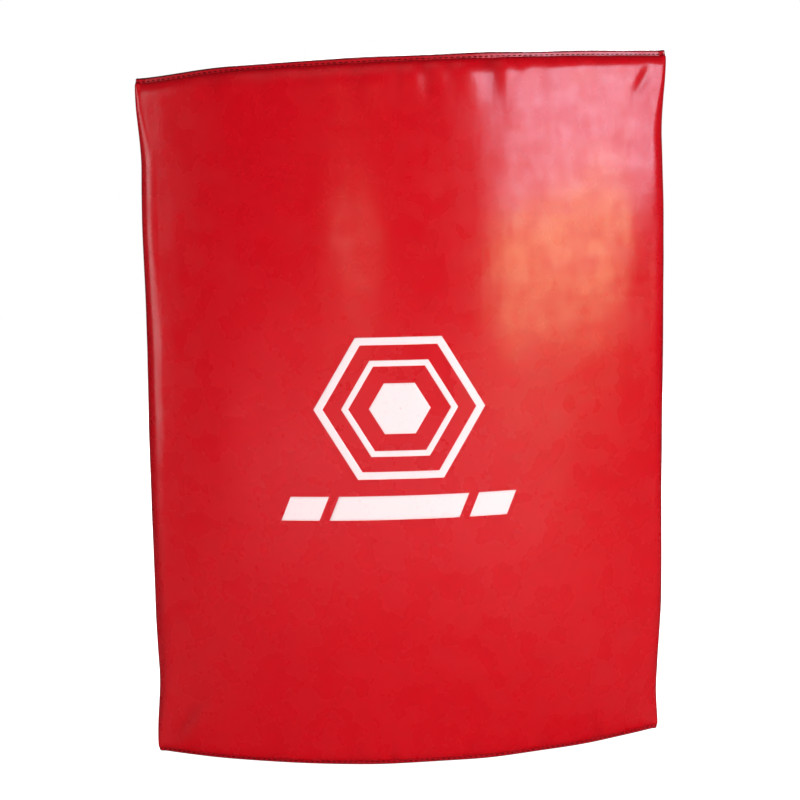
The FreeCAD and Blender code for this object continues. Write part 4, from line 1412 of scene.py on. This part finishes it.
def by_ring(along, across):
    """(out, up) in a station's plane from the ring's own directions, at its outer bar."""
    run = RING_LONG + along
    return (RING_OUT + run * math.cos(LEAN) - across * math.sin(LEAN),
            -RING_DROP + run * math.sin(LEAN) + across * math.cos(LEAN))


def forearm_strap(row, height, angle):
    """Padded strap through a ring, with a touch-fastened tail folded back over it."""
    place = station(angle, height)
    patch(f"{row}_strap_patch_skin", f"{row}_strap_patch", angle, height, 70 * MM, 230 * MM)
    thick = 3 * MM
    turn = 5.5 * MM
    corners = [(4.1 * MM, 112 * MM), (4.1 * MM, 84 * MM, 9 * MM), (58.5 * MM, 62.5 * MM, 14 * MM),
               (58.5 * MM, -48.5 * MM, 14 * MM), (*by_ring(0, turn), 3 * MM),
               (*by_ring(-turn, turn), 5 * MM), (*by_ring(-turn, -turn), 5 * MM),
               by_ring(2 * MM, -turn)]
    band = ribbon(f"{row}_strap_webbing", bent_path(corners), 50 * MM, thick, place, 22)
    finish_piece(band, WEBBING, "shield", "webbing", f"{row}_strap_band")
    lines = rectangle(20 * MM, 88 * MM, 108 * MM, True)
    stitches(f"{row}_strap_foot_thread", sewn_lines(place, 5.75 * MM, lines), BLACK_THREAD,
             "shield", "webbing", 3.6 * MM, 2.8 * MM, 0.36 * MM)

    pile = block(f"{row}_strap_loop_pile", (44 * MM, 0.5 * MM, 84 * MM), 0.2 * MM, (20, 1, 40),
                 lambda x, y, z: place(x, y + 60.15 * MM, z + 4 * MM))
    finish_piece(pile, LOOP_PILE, "shield", "webbing")

    def puffed(x, y, z):
        share = max(1 - (x / (28 * MM)) ** 4, 0) * max(1 - (z / (45 * MM)) ** 4, 0)
        channel = sum(bell(z - groove * MM, 1.8 * MM) for groove in (-15, 15))
        drift = noise.noise(Vector((x * 40, z * 40, height))) * 0.4 * MM
        inner = (0.8 * MM - 2.0 * MM * channel + drift) * share if y < 0 else 0.0
        return place(x, 53.2 * MM + min(y, 3.4 * MM) - inner, z + 5 * MM)

    cushion = block(f"{row}_strap_cushion", (54 * MM, 6.4 * MM, 88 * MM), 2.8 * MM, (30, 3, 60),
                    lambda x, y, z: Vector((x, y, z)))
    inflate(cushion, 3 * MM, 2.6 * MM)
    for vertex in cushion.data.vertices:
        vertex.co = puffed(*vertex.co)
    face_outwards(cushion)
    finish_piece(cushion, LINING, "shield", "patch_skin", f"{row}_strap_pad")
    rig.padded(cushion, fill=0.75)

    gap = 5.9 * MM + thick / 2 + 0.2 * MM
    top = 62.1 * MM
    corners = [by_ring(4 * MM, -gap), (top, -53.5 * MM, 15 * MM), (top, 20 * MM)]
    tail = ribbon(f"{row}_tail_webbing", bent_path(corners), 50 * MM, 2.6 * MM, place, 22)
    finish_piece(tail, WEBBING, f"{row}_tail", "webbing", f"{row}_strap_tail")
    lines = rectangle(21 * MM, -42 * MM, 16 * MM)
    stitches(f"{row}_tail_thread", sewn_lines(place, top + 1.4 * MM, lines), BLACK_THREAD,
             f"{row}_tail", "webbing", 3.6 * MM, 2.8 * MM, 0.36 * MM)

    half = 29 * MM
    corners = [(0, 0), (half, 0, 2.6 * MM), (half, -RING_LONG, 2.6 * MM),
               (-half, -RING_LONG, 2.6 * MM), (-half, 0, 2.6 * MM), (0, 0)]
    path = []
    for point in bent_path(corners, 2 * MM)[:-1]:
        path.append(place(point.x, *by_ring(point.y, 0)))
    aside = place(0, *by_ring(0, 1 * MM)) - place(0, *by_ring(0, 0))
    ring = tube(f"{row}_ring_wire", path, 2 * MM, aside.normalized(), True, 14)
    finish_piece(ring, NICKEL, f"{row}_ring", "hardware", f"{row}_strap_ring")

    low, high = 3.3 * MM, 5.6 * MM
    wrap = 3.6 * MM
    corners = [(low, -113 * MM), (low, -92 * MM, 5 * MM), (RING_OUT - wrap, -84 * MM, 3 * MM),
               (RING_OUT - wrap, -84 * MM + wrap, 2.6 * MM),
               (RING_OUT + wrap, -84 * MM + wrap, 2.6 * MM),
               (RING_OUT + wrap, -84 * MM - 1 * MM, 3 * MM), (high, -93 * MM, 4 * MM),
               (high, -113 * MM)]
    tab = ribbon(f"{row}_tab_webbing", bent_path(corners, 2 * MM), 48 * MM, 2.1 * MM, place, 20)
    finish_piece(tab, WEBBING, "shield", "webbing", f"{row}_ring_tab")
    lines = rectangle(20 * MM, -111 * MM, -97 * MM, True)
    stitches(f"{row}_tab_thread", sewn_lines(place, high + 1.15 * MM, lines), BLACK_THREAD,
             "shield", "webbing", 3.4 * MM, 2.6 * MM, 0.34 * MM)


foam_core()
end_panels()
back_panel()
rear_piping()
vent_eyelets()
zip_tapes()
zip_coils()
zip_metal()
for row, (height, side) in ROWS.items():
    hand_grip(row, height, side * GRIP_ANGLE)
    forearm_strap(row, height, -side * STRAP_ANGLE)


# ---- studio -------------------------------------------------------------------------------

SURROUND_LIGHT = 0.03


def studio():
    """Pale floor and a white surround, both bright to the camera only."""
    scene = bpy.context.scene
    scene.view_settings.view_transform = "Standard"
    world = bpy.data.worlds.new("surround")
    scene.world = world
    world.use_nodes = True
    tree = world.node_tree
    back = tree.nodes["Background"]
    back.inputs["Color"].default_value = (1, 1, 1, 1)
    seen = tree.nodes.new("ShaderNodeLightPath")
    level = tree.nodes.new("ShaderNodeMapRange")
    level.inputs["To Min"].default_value = SURROUND_LIGHT
    level.inputs["To Max"].default_value = 1.0
    tree.links.new(seen.outputs["Is Camera Ray"], level.inputs["Value"])
    tree.links.new(level.outputs["Result"], back.inputs["Strength"])

    floor = add_object("floor", [(-6, -6, 0), (6, -6, 0), (6, 6, 0), (-6, 6, 0)], [(0, 1, 2, 3)])
    pale = Nodes("pale_floor", 0.9)
    pale.shader.inputs["Specular IOR Level"].default_value = 0.0
    paint = pale.blend(pale.noise(3, 2), (0.80, 0.80, 0.80), (0.82, 0.82, 0.82))
    seen = pale.add("ShaderNodeLightPath").outputs
    pale.colour(pale.blend(seen["Is Glossy Ray"], paint, (0.02, 0.02, 0.02)))
    pale.shader.inputs["Emission Color"].default_value = (1, 1, 1, 1)
    pale.link(pale.ramp(seen["Is Camera Ray"], 0.0, 0.98), pale.shader.inputs["Emission Strength"])
    floor.data.materials.append(pale.material)
    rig.stage(floor)


def softbox(name, place, target, wide, high, power, colour=(1, 1, 1), mirrored=True, roll=0.0):
    """Area light aimed at a target, and whether the skin mirrors it."""
    light = bpy.data.lights.new(name, "AREA")
    light.shape = "RECTANGLE"
    light.size = wide
    light.size_y = high
    light.energy = power
    light.color = colour
    obj = bpy.data.objects.new(name, light)
    obj.location = place
    aim = (Vector(target) - Vector(place)).to_track_quat("-Z", "Y")
    obj.rotation_euler = (aim @ Quaternion((0, 0, 1), math.radians(roll))).to_euler()
    obj.visible_glossy = mirrored
    bpy.context.scene.collection.objects.link(obj)


def camera():
    """Camera in front and slightly to the left, looking a little down."""
    distance, height = 1.353, 0.563
    side, aim = math.radians(4.58), math.radians(4.58 - 0.57)
    pitch, roll = math.radians(7.96), math.radians(1.15)
    place = Vector((-distance * math.sin(side), FACE_Y - distance * math.cos(side), height))
    forward = Vector((math.sin(aim) * math.cos(pitch), math.cos(aim) * math.cos(pitch),
                      -math.sin(pitch)))
    right = forward.cross(Vector((0, 0, 1))).normalized()
    up = right.cross(forward)
    tilted_right = right * math.cos(roll) - up * math.sin(roll)
    tilted_up = right * math.sin(roll) + up * math.cos(roll)
    lens = bpy.data.cameras.new("camera")
    lens.sensor_width = 36
    lens.lens = 63
    lens.clip_start = 0.05
    obj = bpy.data.objects.new("camera", lens)
    axes = Matrix((tilted_right, tilted_up, -forward)).transposed().to_4x4()
    obj.matrix_world = Matrix.Translation(place) @ axes
    bpy.context.scene.collection.objects.link(obj)
    bpy.context.scene.camera = obj


studio()
softbox("key_high", (1.33, -1.16, 0.88), (0.15, -0.1, 0.62), 1.5, 0.50, 11.9, (0.80, 0.79, 1.0))
softbox("key_low", (1.20, -1.28, 0.48), (0.13, -0.1, 0.46), 1.1, 0.32, 4.9, (1, 0.90, 0.42), roll=6)
softbox("overhead", (-0.5, -1.8, 2.3), (0, 0, 0.2), 2.2, 1.2, 15, mirrored=False)
softbox("fill", (0, -1.3, 0.05), (0, 0, 0.1), 2.2, 0.3, 17, (1, 0.75, 0.78), mirrored=False)
softbox("left", (-1.9, -0.45, 0.7), (0, 0, 0.35), 0.9, 1.3, 5.5)
softbox("glow", (-0.46, -2.6, 0.47), (-0.05, -0.1, 0.45), 0.4, 0.4, 0.95, (1, 0.75, 0.55))
softbox("rear", (0.4, 2.2, 1.8), (0, 0, 0.4), 1.6, 1.2, 90)
camera()

visual_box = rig.bounds()
with open("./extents.json", "w") as file:
    json.dump({"cad": [list(corner) for corner in cad_box],
               "visual": [list(corner) for corner in visual_box]}, file)
